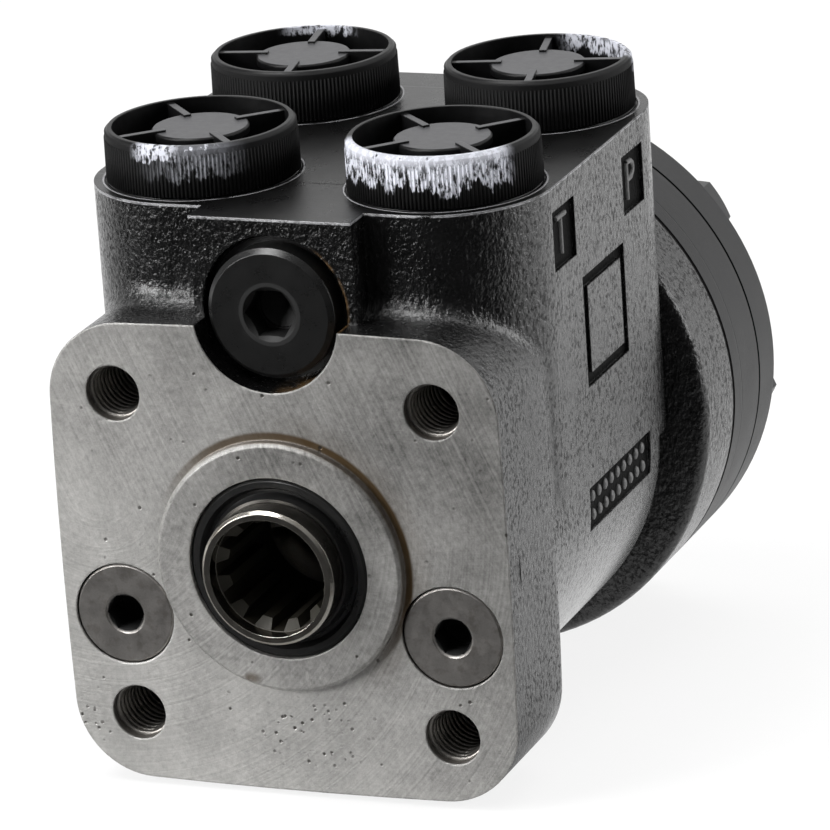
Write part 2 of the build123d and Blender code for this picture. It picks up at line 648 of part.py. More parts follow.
def make_spring_ring():
    """Make the thin ring that keeps the leaf springs in their slots."""
    outer_r = SLEEVE_R - RUNNING_GAP
    half = SPRING_RING_WIDTH / 2
    return tube(outer_r, outer_r - SPRING_RING_WALL, SPRING_Y - half, SPRING_Y + half)


def make_cross_pin():
    """Make the pin that ties the sleeve to the cardan shaft."""
    return Pos(0, PIN_Y, 0) * Rot(0, 90, 0) * Cylinder(PIN_R, 2 * PIN_HALF_LENGTH)


def leaf(offset, sag):
    """Make one leaf spring, flat or arched, at an offset from the middle of the pack."""
    reach = SLEEVE_R - SPRING_RING_WALL - 3 * RUNNING_GAP
    half = math.sqrt(reach ** 2 - leaf_pack_half_thickness() ** 2)
    low, high = abs(offset), abs(offset) + LEAF_THICKNESS
    if sag:
        lower = ThreePointArc((-half, low + sag), (0, low), (half, low + sag))
        upper = ThreePointArc((-half, high + sag), (0, high), (half, high + sag))
    else:
        lower = Line((-half, low), (half, low))
        upper = Line((-half, high), (half, high))
    ends = [Line(lower @ 0, upper @ 0), Line(lower @ 1, upper @ 1)]
    section = make_face(Curve() + [lower, upper, *ends])
    if offset < 0:
        section = mirror(section, Plane.XZ)
    return prism(section, SPRING_Y - SPRING_WIDTH / 2, SPRING_Y + SPRING_WIDTH / 2)


def make_centring_springs():
    """Stack the leaf springs: flat ones in the middle, arched ones on both sides."""
    step = LEAF_THICKNESS + LEAF_GAP
    leaves = []
    for side in (-1, 1):
        leaves.append(leaf(side * LEAF_GAP / 2, 0))
        for place in range(ARCHED_LEAVES):
            leaves.append(leaf(side * (LEAF_GAP / 2 + (place + 1) * step), LEAF_SAG))
    return Compound(children=leaves)


# Gerotor set, distribution plate and end cover

def rotor_point(turn):
    """Give a point of the envelope that the seven ring lobes leave, less the clearance."""
    depth = LOBE_R + ROTOR_CLEARANCE
    far = RING_LOBES * turn
    path_x = LOBE_CIRCLE_R * math.cos(turn) - ECCENTRICITY * math.cos(far)
    path_z = LOBE_CIRCLE_R * math.sin(turn) - ECCENTRICITY * math.sin(far)
    run_x = RING_LOBES * ECCENTRICITY * math.sin(far) - LOBE_CIRCLE_R * math.sin(turn)
    run_z = LOBE_CIRCLE_R * math.cos(turn) - RING_LOBES * ECCENTRICITY * math.cos(far)
    run = math.hypot(run_x, run_z)
    return path_x - depth * run_z / run, path_z + depth * run_x / run


def rotor_outline():
    """Draw the six-lobed rotor as short arcs through points of the envelope."""
    count = 2 * ROTOR_LOBES * ARCS_PER_LOBE
    points = [rotor_point(2 * math.pi * step / count) for step in range(count)]
    flank = Curve()
    for start in range(0, count, 2):
        flank += ThreePointArc(points[start], points[start + 1], points[(start + 2) % count])
    return make_face(flank)


def make_gear_wheel():
    """Make the orbiting gear wheel with its internal spline, in mesh with the ring."""
    front = PLATE_REAR_Y + SIDE_GAP
    rear = GEAR_REAR_Y - SIDE_GAP
    wheel = prism(rotor_outline(), front, rear)
    tip_r = HEAD_ROOT_R + HEAD_RADIAL_GAP
    root_r = HEAD_TIP_R + HEAD_RADIAL_GAP
    side = HEAD_SIDE_GAP / ((tip_r + root_r) / 2) / (2 * math.pi / HEAD_TEETH) * 2
    wheel -= prism(spline_outline(HEAD_TEETH, root_r, tip_r, 0.36 + side, 0.56 + side), front, rear)
    return Pos(ROTOR_X, 0, ROTOR_Z) * Rot(0, -FIRST_LOBE_ANGLE, 0) * wheel


def make_gear_ring():
    """Make the fixed ring with its seven inner lobes and screw holes."""
    chamber_r = LOBE_CIRCLE_R + 2 * ECCENTRICITY - LOBE_R + CHAMBER_GAP
    chamber = Circle(chamber_r)
    for angle in SCREW_ANGLES:
        chamber -= Pos(*polar(LOBE_CIRCLE_R, angle)) * Circle(LOBE_R)
    corners = [v for v in chamber.vertices() if math.hypot(v.X, v.Y) > chamber_r - 1]
    chamber = fillet(corners, CHAMBER_FILLET)
    ring = Circle(DRUM_R) - chamber
    for angle in SCREW_ANGLES:
        ring -= Pos(*polar(LOBE_CIRCLE_R, angle)) * Circle(SCREW_HOLE_R)
    return prism(ring, PLATE_REAR_Y, GEAR_REAR_Y)


def make_distribution_plate():
    """Make the plate that carries oil between the housing and the gear chambers."""
    plate = Circle(DRUM_R) - Circle(PLATE_HOLE_R)
    for angle in SCREW_ANGLES:
        plate -= Pos(*polar(LOBE_CIRCLE_R, angle)) * Circle(SCREW_HOLE_R)
    slot_middle = (METER_PORT_INNER + METER_PORT_OUTER) / 2
    for angle in VALVE_ANGLES:
        slot = SlotCenterToCenter(METER_PORT_OUTER - METER_PORT_INNER, 2 * METER_PORT_R)
        plate -= Pos(*polar(slot_middle, angle)) * Rot(0, 0, angle) * slot
    plate = prism(plate, HOUSING_REAR_Y, PLATE_REAR_Y)
    return plate - stack_groove(PLATE_REAR_Y, -1)


def stack_groove(face_y, side):
    """Make the ring groove cut into a face of the gear stack."""
    low, high = sorted((face_y, face_y + side * STACK_GROOVE_DEPTH))
    return tube(STACK_RING_R + STACK_GROOVE_HALF_WIDTH, STACK_RING_R - STACK_GROOVE_HALF_WIDTH, low, high)


def make_stack_o_rings():
    """Make the three rings that seal the joints of the gear stack."""
    inset = STACK_GROOVE_DEPTH / 2
    wire_r = inset - STACK_RING_GAP
    places = [HOUSING_REAR_Y - inset, PLATE_REAR_Y - inset, GEAR_REAR_Y + inset]
    return Compound(children=[o_ring(STACK_RING_R, wire_r, y) for y in places])


def make_end_cover():
    """Make the plain steel cover behind the gear set."""
    cover = turned([(0, GEAR_REAR_Y), (DRUM_R, GEAR_REAR_Y), (DRUM_R, COVER_REAR_Y - COVER_CHAMFER),
                    (DRUM_R - COVER_CHAMFER, COVER_REAR_Y), (0, COVER_REAR_Y)])
    for angle in SCREW_ANGLES:
        cover -= rod(SCREW_HOLE_R, GEAR_REAR_Y, COVER_REAR_Y, *polar(LOBE_CIRCLE_R, angle))
    return cover - stack_groove(GEAR_REAR_Y, 1)


def screw(angle, end_y):
    """Make one hexagon screw of the stack, from its head to its end in the housing."""
    x, z = polar(LOBE_CIRCLE_R, angle)
    seat_y = COVER_REAR_Y + WASHER_THICKNESS
    top_y = seat_y + SCREW_HEAD_HEIGHT
    hexagon = Pos(x, z) * RegularPolygon(SCREW_HEAD_AF / 2, 6, major_radius=False)
    corner_r = SCREW_HEAD_AF / math.sqrt(3)
    dome = turned([(0, seat_y), (corner_r + 0.1, seat_y), (corner_r + 0.1, top_y - 0.9),
                   (SCREW_HEAD_AF / 2 - 0.3, top_y), (0, top_y)], x, z)
    head = prism(hexagon, seat_y, top_y) & dome
    shank = turned([(0, end_y), (SCREW_R - SCREW_END_CHAMFER, end_y), (SCREW_R, end_y + SCREW_END_CHAMFER),
                    (SCREW_R, seat_y), (0, seat_y)], x, z)
    return head + shank


def make_cover_screws():
    """Make the six plain screws of the stack."""
    return Compound(children=[screw(angle, SCREW_END_Y) for angle in SCREW_ANGLES[1:]])


def make_pin_screw():
    """Make the seventh screw, whose turned-down end carries the roll pin."""
    x, z = polar(LOBE_CIRCLE_R, SCREW_ANGLES[0])
    step_y = SCREW_END_Y + SCREW_SPIGOT_LENGTH
    spigot = rod(SCREW_R - SCREW_SPIGOT_STEP, SCREW_END_Y, step_y + 1, x, z)
    return screw(SCREW_ANGLES[0], step_y) + spigot


def make_cover_washers():
    """Make the seven sealing washers under the screw heads."""
    rings = []
    for angle in SCREW_ANGLES:
        rings.append(tube(WASHER_R, SCREW_R + 0.1, COVER_REAR_Y, COVER_REAR_Y + WASHER_THICKNESS,
                          *polar(LOBE_CIRCLE_R, angle)))
    return Compound(children=rings)


# Cardan shaft and spacer

def make_cardan_shaft():
    """Make the shaft that ties the cross pin to the orbiting gear wheel."""
    head_start = CARDAN_REACH + PIN_Y - HEAD_WIDTH / 2
    head_end = head_start + HEAD_WIDTH
    bar = turned([(0, FORK_FRONT_Y), (FORK_R - 0.8, FORK_FRONT_Y), (FORK_R, FORK_FRONT_Y + 0.8),
                  (FORK_R, FORK_REAR_Y), (SHANK_R, FORK_REAR_Y + 3), (SHANK_R, head_start - 0.5),
                  (0, head_start - 0.5)])
    slot_half = PIN_R + FORK_SLOT_GAP
    slot_end_y = PIN_Y + FORK_R * math.sin(math.radians(CARDAN_TILT)) + FORK_SLOT_GAP
    slot_length = slot_end_y - FORK_FRONT_Y + 1
    bar -= Pos(0, slot_end_y - slot_length, 0) * Box(3 * FORK_R, slot_length, 2 * slot_half,
                                                     align=(Align.CENTER, Align.MIN, Align.CENTER))
    bar -= Pos(0, slot_end_y, 0) * Rot(0, 90, 0) * Cylinder(slot_half, 3 * FORK_R)
    head = prism(spline_outline(HEAD_TEETH, HEAD_TIP_R, HEAD_ROOT_R, 0.36, 0.56), head_start, head_end)
    crown = make_face(Curve() + [
        Line((0, head_start - 0.5), (HEAD_TIP_R - HEAD_CROWN, head_start - 0.5)),
        ThreePointArc((HEAD_TIP_R - HEAD_CROWN, head_start - 0.5), (HEAD_TIP_R, (head_start + head_end) / 2),
                      (HEAD_TIP_R - HEAD_CROWN, head_end)),
        Line((HEAD_TIP_R - HEAD_CROWN, head_end), (0, head_end)),
        Line((0, head_end), (0, head_start - 0.5)),
    ])
    head &= revolve(crown, Axis.Y)
    shaft = bar + head + rod(SHANK_R, head_start - 0.5, head_start)
    return Pos(0, PIN_Y, 0) * Rot(CARDAN_TILT, 0, 0) * Pos(0, -PIN_Y, 0) * shaft


def make_cardan_spacer():
    """Make the disc that fills the wheel's bore behind the cardan shaft."""
    start = HEAD_FRONT_Y + HEAD_WIDTH + SPACER_GAP
    return rod(SPACER_R, start, GEAR_REAR_Y - 2 * SIDE_GAP, ROTOR_X, ROTOR_Z)


# Valves

def make_relief_plug():
    """Make the plug that closes the relief valve, with its hexagon socket."""
    seat_y = SPOT_FACE_Y - BONDED_THICKNESS
    thread_r = RELIEF_THREAD_R - THREAD_GAP
    plug = turned([(0, RELIEF_HEAD_Y), (RELIEF_HEAD_R - 0.9, RELIEF_HEAD_Y),
                   (RELIEF_HEAD_R, RELIEF_HEAD_Y + 0.9),
                   (RELIEF_HEAD_R, seat_y), (thread_r, seat_y), (thread_r, RELIEF_PLUG_END_Y),
                   (thread_r - 2.5, RELIEF_PLUG_END_Y), (thread_r - 2.5, seat_y + 4), (0, seat_y + 4)],
                  0, RELIEF_Z)
    return plug - hex_socket(RELIEF_HEX_AF, RELIEF_HEAD_Y, seat_y - RELIEF_HEAD_Y, 0, RELIEF_Z)


def make_relief_seal():
    """Make the bonded washer under the relief plug."""
    return tube(BONDED_R, RELIEF_THREAD_R + 0.1, SPOT_FACE_Y - BONDED_THICKNESS, SPOT_FACE_Y, 0, RELIEF_Z)


def make_relief_adjuster():
    """Make the screw that sets the relief spring."""
    outer_r = RELIEF_BORE_R - THREAD_GAP
    screw_body = rod(outer_r, ADJUSTER_FRONT_Y, ADJUSTER_REAR_Y, 0, RELIEF_Z)
    return screw_body - hex_socket(ADJUSTER_HEX_AF, ADJUSTER_FRONT_Y, 4, 0, RELIEF_Z)


def make_relief_spring():
    """Make the relief valve's spring."""
    return coil_spring(RELIEF_SPRING_R, RELIEF_WIRE_R, RELIEF_TURNS, ADJUSTER_REAR_Y + RUNNING_GAP,
                       POPPET_FRONT_Y - RUNNING_GAP, 0, RELIEF_Z)


def make_relief_poppet():
    """Make the cone that lifts off the seat against its spring."""
    slope = 1.2
    shoulder_y = SEAT_FRONT_Y - (POPPET_STEM_R - SEAT_HOLE_R) * slope - RUNNING_GAP
    tip_r = 0.6
    tip_y = shoulder_y + (POPPET_STEM_R - tip_r) * slope
    return turned([(0, POPPET_FRONT_Y), (POPPET_HEAD_R, POPPET_FRONT_Y),
                   (POPPET_HEAD_R, POPPET_FRONT_Y + 1.6),
                   (POPPET_STEM_R, POPPET_FRONT_Y + 1.6), (POPPET_STEM_R, shoulder_y), (tip_r, tip_y),
                   (0, tip_y)], 0, RELIEF_Z)


def make_relief_seat():
    """Make the pressed seat of the relief valve."""
    return tube(RELIEF_BORE_R - 0.02, SEAT_HOLE_R, SEAT_FRONT_Y, SEAT_REAR_Y, 0, RELIEF_Z)


def make_shock_plug(side):
    """Make one flush plug of the shock valves, with its ring groove and hexagon socket."""
    x = side * SHOCK_X
    thread_r = SHOCK_THREAD_R - THREAD_GAP
    groove_y = SHOCK_SPOT_Y - 2 * SHOCK_RING_WIRE_R - 0.1
    neck_r = SHOCK_SPOT_R - 2 * SHOCK_RING_WIRE_R - 0.1
    plug = turned([(0, SHOCK_RECESS), (SHOCK_HEAD_R - 0.3, SHOCK_RECESS), (SHOCK_HEAD_R, SHOCK_RECESS + 0.3),
                   (SHOCK_HEAD_R, groove_y), (neck_r, groove_y), (neck_r, SHOCK_SPOT_Y),
                   (thread_r, SHOCK_SPOT_Y),
                   (thread_r, SHOCK_THREAD_END_Y), (0, SHOCK_THREAD_END_Y)], x, SHOCK_Z)
    return plug - hex_socket(SHOCK_HEX_AF, SHOCK_RECESS, 5, x, SHOCK_Z)


def make_shock_seals():
    """Make the two rings under the shock plugs."""
    rings = []
    for side in (-1, 1):
        rings.append(o_ring(SHOCK_SPOT_R - SHOCK_RING_WIRE_R - 0.05, SHOCK_RING_WIRE_R,
                            SHOCK_SPOT_Y - SHOCK_RING_WIRE_R - 0.05, side * SHOCK_X, SHOCK_Z))
    return Compound(children=rings)


def shock_ball_y():
    """Give the place of a shock ball's centre when it rests on its seat."""
    return SHOCK_SEAT_Y - math.sqrt(VALVE_BALL_R ** 2 - VALVE_SEAT_R ** 2) - RUNNING_GAP


def make_shock_ball(side):
    """Make one ball of the shock valves."""
    return Pos(side * SHOCK_X, shock_ball_y(), SHOCK_Z) * Sphere(VALVE_BALL_R)


def make_shock_spring(side):
    """Make one spring of the shock valves."""
    lift = math.sqrt(VALVE_BALL_R ** 2 - (SHOCK_SPRING_R - SHOCK_WIRE_R) ** 2)
    return coil_spring(SHOCK_SPRING_R, SHOCK_WIRE_R, SHOCK_TURNS, SHOCK_THREAD_END_Y + RUNNING_GAP,
                       shock_ball_y() - lift, side * SHOCK_X, SHOCK_Z)


def valve_ball_y():
    """Give the place of a suction or check ball's centre on its seat in the housing."""
    return VALVE_HOLE_END_Y + math.sqrt(VALVE_BALL_R ** 2 - VALVE_SEAT_R ** 2) + RUNNING_GAP


def make_valve_ball(angle):
    """Make one suction or check ball."""
    x, z = polar(VALVE_CIRCLE_R, angle)
    return Pos(x, valve_ball_y(), z) * Sphere(VALVE_BALL_R)


def make_suction_pins():
    """Make the two roll pins that keep the suction balls in."""
    pins = []
    start = valve_ball_y() + VALVE_BALL_R + VALVE_PIN_GAP
    for angle in SUCTION_ANGLES.values():
        pins.append(tube(VALVE_HOLE_R - 0.02, VALVE_HOLE_R - ROLL_PIN_WALL, start, HOUSING_REAR_Y - 0.3,
                         *polar(VALVE_CIRCLE_R, angle)))
    return Compound(children=pins)


def make_check_bushing():
    """Make the threaded bushing that keeps the check ball in."""
    start = valve_ball_y() + VALVE_BALL_R + VALVE_PIN_GAP
    x, z = polar(VALVE_CIRCLE_R, CHECK_ANGLE)
    return tube(VALVE_HOLE_R - 0.02, VALVE_SEAT_R, start, HOUSING_REAR_Y - 0.1, x, z)


# Transit caps

def make_port_cap(name):
    """Make one moulded transit cap: rim, floor, centre disc on a tube, spokes and screwed plug."""
    x, y, _ = PORTS[name]
    base, top = 0.0, CAP_HEIGHT
    plug_r = PORT_R - CAP_PLUG_GAP
    disc_top = top - CAP_DISC_DROP
    shell = make_face(Polyline((plug_r - 1.6, -CAP_PLUG_LENGTH), (plug_r - 0.6, -CAP_PLUG_LENGTH),
                               (plug_r, 0.6 - CAP_PLUG_LENGTH), (plug_r, base), (CAP_R, base),
                                (CAP_R, top - 0.6),
                               (CAP_R - 0.6, top), (CAP_R - CAP_WALL, top),
                                (CAP_R - CAP_WALL, base + CAP_FLOOR),
                               (plug_r - 1.6, base + CAP_FLOOR), close=True))
    cap = revolve(Plane.XZ * shell, Axis.Z)
    centre = make_face(Polyline((0, disc_top - CAP_DISC_THICKNESS), (CAP_TUBE_R - CAP_TUBE_WALL,
                                disc_top - CAP_DISC_THICKNESS), (CAP_TUBE_R - CAP_TUBE_WALL, base),
                                (plug_r - 1, base), (plug_r - 1, base + CAP_FLOOR),
                                (CAP_TUBE_R, base + CAP_FLOOR), (CAP_TUBE_R, disc_top - CAP_DISC_THICKNESS),
                                (CAP_DISC_R, disc_top - CAP_DISC_THICKNESS), (CAP_DISC_R, disc_top - 0.3),
                                (CAP_DISC_R - 0.3, disc_top), (0, disc_top), close=True))
    cap += revolve(Plane.XZ * centre, Axis.Z)
    spoke_top = top - CAP_SPOKE_DROP
    for step in range(CAP_SPOKES):
        spoke = Pos(CAP_TUBE_R - 0.5, 0, base + CAP_FLOOR / 2) * Box(
            CAP_R - CAP_WALL / 2 - CAP_TUBE_R + 0.5, CAP_SPOKE_WIDTH, spoke_top - base - CAP_FLOOR / 2,
            align=(Align.MIN, Align.CENTER, Align.MIN))
        cap += Rot(0, 0, CAP_ANGLES[name] + step * 360 / CAP_SPOKES) * spoke
    return Pos(x, y, CAP_BASE_Z) * cap


# Nodes

def all_nodes():
    """Name every piece of the unit."""
    nodes = {
        "housing": make_housing(),
        "dust_seal": make_dust_seal(),
        "shaft_seal": make_shaft_seal(),
        "shaft_o_ring": make_shaft_o_ring(),
        "bearing_outer_race": make_outer_race(),
        "bearing_needle_cage": make_needle_cage(),
        "bearing_inner_race": make_inner_race(),
        "spool": make_spool(),
        "sleeve": make_sleeve(),
        "spring_ring": make_spring_ring(),
        "centring_springs": make_centring_springs(),
        "cross_pin": make_cross_pin(),
        "cardan_shaft": make_cardan_shaft(),
        "cardan_spacer": make_cardan_spacer(),
        "distribution_plate": make_distribution_plate(),
        "gear_ring": make_gear_ring(),
        "gear_wheel": make_gear_wheel(),
        "stack_o_rings": make_stack_o_rings(),
        "end_cover": make_end_cover(),
        "cover_screws": make_cover_screws(),
        "pin_screw": make_pin_screw(),
        "cover_washers": make_cover_washers(),
        "relief_plug": make_relief_plug(),
        "relief_seal": make_relief_seal(),
        "relief_adjuster": make_relief_adjuster(),
        "relief_spring": make_relief_spring(),
        "relief_poppet": make_relief_poppet(),
        "relief_seat": make_relief_seat(),
        "shock_seals": make_shock_seals(),
        "suction_pins": make_suction_pins(),
        "check_ball": make_valve_ball(CHECK_ANGLE),
        "check_bushing": make_check_bushing(),
    }
    for name, side in (("left", -1), ("right", 1)):
        nodes[f"shock_plug_{name}"] = make_shock_plug(side)
        nodes[f"shock_ball_{name}"] = make_shock_ball(side)
        nodes[f"shock_spring_{name}"] = make_shock_spring(side)
        nodes[f"suction_ball_{name}"] = make_valve_ball(SUCTION_ANGLES[name])
    for name in PORTS:
        nodes[f"port_cap_{name}"] = make_port_cap(name)
    return nodes


os.makedirs("parts", exist_ok=True)
for node, shape in all_nodes().items():
    export_step(shape, f"parts/{node}.step")
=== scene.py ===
import json
import math

import bpy
from mathutils import Matrix, Vector


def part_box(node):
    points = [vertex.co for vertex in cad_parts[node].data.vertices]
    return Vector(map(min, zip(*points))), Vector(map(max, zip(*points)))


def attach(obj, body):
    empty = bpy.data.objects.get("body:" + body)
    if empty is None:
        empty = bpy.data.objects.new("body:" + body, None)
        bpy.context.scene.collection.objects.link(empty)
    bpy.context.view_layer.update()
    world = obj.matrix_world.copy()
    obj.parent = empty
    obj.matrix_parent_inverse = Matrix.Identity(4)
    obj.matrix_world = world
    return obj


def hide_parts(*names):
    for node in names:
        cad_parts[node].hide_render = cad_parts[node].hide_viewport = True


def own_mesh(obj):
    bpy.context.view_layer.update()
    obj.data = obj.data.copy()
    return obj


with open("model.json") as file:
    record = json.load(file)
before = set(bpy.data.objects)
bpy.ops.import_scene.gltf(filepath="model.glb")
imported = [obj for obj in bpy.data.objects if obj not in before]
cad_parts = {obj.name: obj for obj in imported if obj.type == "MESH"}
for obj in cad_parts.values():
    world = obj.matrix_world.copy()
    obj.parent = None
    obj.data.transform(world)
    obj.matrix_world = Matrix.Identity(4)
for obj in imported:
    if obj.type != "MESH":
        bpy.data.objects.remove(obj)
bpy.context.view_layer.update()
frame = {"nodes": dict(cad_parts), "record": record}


# The view.
# A long lens stands far off, to the right of the mounting face and above it, a little tilted. It sees the
# face, the ports on top and the cast marks on the right side.
MM = 0.001
scene = bpy.context.scene


def link(name, data):
    """A new object of this data in the scene."""
    thing = bpy.data.objects.new(name, data)
    scene.collection.objects.link(thing)
    return thing


azimuth = math.radians(22.412)
elevation = math.radians(18.327)
roll = math.radians(-3.905)
aim = Vector((26.242, 0.0, 28.576)) * MM
distance = 1006.23 * MM

back = Vector((
    math.sin(azimuth) * math.cos(elevation),
    -math.cos(azimuth) * math.cos(elevation),
    math.sin(elevation),
))
level = Vector((math.cos(azimuth), math.sin(azimuth), 0.0))
upright = level.cross(back) * -1.0
right = math.cos(roll) * level + math.sin(roll) * upright
up = math.cos(roll) * upright - math.sin(roll) * level
view_turn = Matrix((right, up, back)).transposed().to_4x4()
camera = link("camera", bpy.data.cameras.new("camera"))
camera.data.sensor_width = 36.0
camera.data.lens = 261.0
camera.data.clip_start = 0.05
camera.data.clip_end = 30.0
camera.matrix_world = Matrix.Translation(aim + distance * back) @ view_turn
scene.camera = camera
scene.view_settings.view_transform = "Standard"


# The floor and the soft boxes.
# White paper lies under the unit and keeps its shadow. The unit leans on the lower edge of its flange and on
# the rim of its drum. Soft boxes stand above it and to both sides, and the room in front of it is dim.
class Signal:
    """A value that changes over a surface, held by the socket that carries it."""

    def __init__(self, graph, node, socket):
        self.graph = graph
        self.node = node
        self.socket = socket

    def out(self, name):
        return Signal(self.graph, self.node, pick(self.node.outputs, name))

    def math(self, operation, *others):
        values = dict(enumerate((self, *others)))
        return self.graph.add("ShaderNodeMath", {"operation": operation}, values)

    def __add__(self, other):
        return self.math("ADD", other)

    def __sub__(self, other):
        return self.math("SUBTRACT", other)

    def __rsub__(self, other):
        return self.graph.add("ShaderNodeMath", {"operation": "SUBTRACT"}, {0: other, 1: self})

    def __mul__(self, other):
        return self.math("MULTIPLY", other)

    def __pow__(self, other):
        return self.math("POWER", other)

    __radd__ = __add__
    __rmul__ = __mul__

    def __abs__(self):
        return self.math("ABSOLUTE")

    def either(self, other):
        return self.math("MAXIMUM", other)

    def above(self, edge, soft):
        """1 where the value is above the edge, 0 below it, with a soft step between."""
        return self.graph.add(
            "ShaderNodeMapRange",
            {"interpolation_type": "SMOOTHSTEP"},
            {"Value": self, "From Min": edge - soft, "From Max": edge + soft},
        )

    def below(self, edge, soft):
        return 1.0 - self.above(edge, soft)

    def between(self, low, high, soft):
        return self.above(low, soft) * self.below(high, soft)


def pick(sockets, name):
    """The socket in use that has this name or number."""
    if isinstance(name, int):
        return [s for s in sockets if s.enabled][name]
    return next(s for s in sockets if s.name == name and s.enabled)


class Graph:
    """A node tree to which nodes are added one at a time."""

    def __init__(self, tree):
        self.tree = tree

    def add(self, kind, settings=None, sockets=None):
        node = self.tree.nodes.new(kind)
        for name, value in (settings or {}).items():
            setattr(node, name, value)
        for name, value in (sockets or {}).items():
            socket = pick(node.inputs, name)
            if isinstance(value, Signal):
                self.tree.links.new(value.socket, socket)
            elif isinstance(value, tuple) and socket.type == "RGBA" and len(value) == 3:
                socket.default_value = (*value, 1.0)
            else:
                socket.default_value = value
        outputs = [s for s in node.outputs if s.enabled]
        return Signal(self, node, outputs[0] if outputs else None)


class Finish(Graph):
    """A material: what is read from the piece's own coordinates ends in its shader."""

    def __init__(self, name):
        self.material = bpy.data.materials.new(name)
        self.material.use_nodes = True
        super().__init__(self.material.node_tree)
        self.tree.nodes.clear()
        self.place = self.add("ShaderNodeTexCoord").out("Object")

    def axes(self, vector=None):
        apart = self.add("ShaderNodeSeparateXYZ", None, {"Vector": vector or self.place})
        return apart.out("X"), apart.out("Y"), apart.out("Z")

    def facing(self):
        """How far the surface turns to each axis."""
        return self.axes(self.add("ShaderNodeTexCoord").out("Normal"))

    def stretched(self, scale):
        """The piece's coordinates, times this along each axis."""
        sockets = {"Vector": self.place, "Scale": scale}
        return self.add("ShaderNodeMapping", {"vector_type": "POINT"}, sockets)

    def grain(self, size, detail=2.0, rough=0.5, vector=None):
        """Cloudy noise whose lumps are about this long, from 0 to 1."""
        sockets = {"Vector": vector or self.place, "Scale": 1.0 / size, "Detail": detail, "Roughness": rough}
        return self.add("ShaderNodeTexNoise", None, sockets)

    def streaks(self, along, size, detail=2.0):
        """Lines that change only with one value."""
        sockets = {"W": along, "Scale": 1.0 / size, "Detail": detail}
        return self.add("ShaderNodeTexNoise", {"noise_dimensions": "1D"}, sockets)

    def specks(self, size, vector=None):
        """How far the nearest of many scattered points is, 0 at each one."""
        sockets = {"Vector": vector or self.place, "Scale": 1.0 / size}
        return self.add("ShaderNodeTexVoronoi", None, sockets)

    def mix(self, share, first, second):
        """The first colour, turning into the second as the share goes to 1."""
        return self.add("ShaderNodeMix", {"data_type": "RGBA"}, {"Factor": share, "A": first, "B": second})

    def blend(self, share, first, second):
        """The same for two numbers."""
        return self.add("ShaderNodeMix", {"data_type": "FLOAT"}, {"Factor": share, "A": first, "B": second})

    def shade(self, tone, tint=(1.0, 1.0, 1.0)):
        """A colour of this tint that is as light as the tone."""
        return self.add("ShaderNodeCombineColor", None, {i: tone * part for i, part in enumerate(tint)})

    def relief(self, height, depth, normal=None):
        """A height from 0 to 1 that stands this deep."""
        sockets = {"Height": height, "Distance": depth}
        if normal:
            sockets["Normal"] = normal
        return self.add("ShaderNodeBump", None, sockets)

    def edge_round(self, radius):
        """Sharp edges that catch the light as if they had this radius."""
        return self.add("ShaderNodeBevel", {"samples": 4}, {"Radius": radius})

    def shader(self, **sockets):
        """A Principled shader, with its sockets named in small letters."""
        names = {name.replace("_", " ").title().replace("Ior", "IOR"): v for name, v in sockets.items()}
        return self.add("ShaderNodeBsdfPrincipled", None, names)

    def done(self, **sockets):
        """Ends in a shader with these sockets, and returns the material."""
        return self.ends(self.shader(**sockets))

    def ends(self, shader):
        self.add("ShaderNodeOutputMaterial", None, {"Surface": shader})
        return self.material


floor_drop = 42.35 * MM
flange_foot = 42.3 * MM
drum_foot = 46.9 * MM
foot_spacing = 87.5 * MM
floor_slope = (drum_foot - flange_foot) / foot_spacing
paper_corners = ((-4, -4), (4, -4), (4, 6), (-4, 6))
floor_mesh = bpy.data.meshes.new("floor")
floor_mesh.from_pydata([(x, y, -floor_drop - floor_slope * y) for x, y in paper_corners], [], [(0, 1, 2, 3)])
floor = link("floor", floor_mesh)

paper = Finish("paper")
rays = paper.add("ShaderNodeLightPath")
seen = rays.out("Is Camera Ray").either(rays.out("Is Glossy Ray")).either(rays.out("Is Transmission Ray"))
tooth = paper.grain(4 * MM, 3.0)
paper_tint = paper.mix(tooth, (0.80, 0.80, 0.80), (0.84, 0.84, 0.84))
lit_paper = paper.add("ShaderNodeBsdfDiffuse", None, {"Color": paper_tint})
white_paper = paper.add("ShaderNodeEmission", None, {"Color": (1.0, 1.0, 1.0), "Strength": 1.0})
behind = paper.axes()[1].above(0.01, 0.07)
white_share = rays.out("Is Camera Ray").either(behind * seen) * 0.84
seen_paper = paper.add("ShaderNodeMixShader", None, {0: white_share, 1: lit_paper, 2: white_paper})
dim_front = paper.add("ShaderNodeEmission", None, {"Color": (1.0, 1.0, 1.0), "Strength": 0.03})
front_share = rays.out("Is Glossy Ray") * (1.0 - behind)
paper_shader = paper.add("ShaderNodeMixShader", None, {0: front_share, 1: seen_paper, 2: dim_front})
floor_mesh.materials.append(paper.ends(paper_shader))

world = bpy.data.worlds.new("room")
world.use_nodes = True
scene.world = world
room = Graph(world.node_tree)
world.node_tree.nodes.clear()
toward = room.add("ShaderNodeTexCoord").out("Generated")
apart = room.add("ShaderNodeSeparateXYZ", None, {"Vector": toward})
glow = apart.out("Y").above(0.30, 0.45) * 0.85 + apart.out("Z").above(0.55, 0.35) * 0.25 + 0.05
by_camera = room.add("ShaderNodeLightPath").out("Is Camera Ray")
strength = room.add("ShaderNodeMix", {"data_type": "FLOAT"}, {"Factor": by_camera, "A": glow, "B": 1.0})
sky = room.add("ShaderNodeBackground", None, {"Color": (1.0, 1.0, 1.0), "Strength": strength})
room.add("ShaderNodeOutputWorld", None, {"Surface": sky})


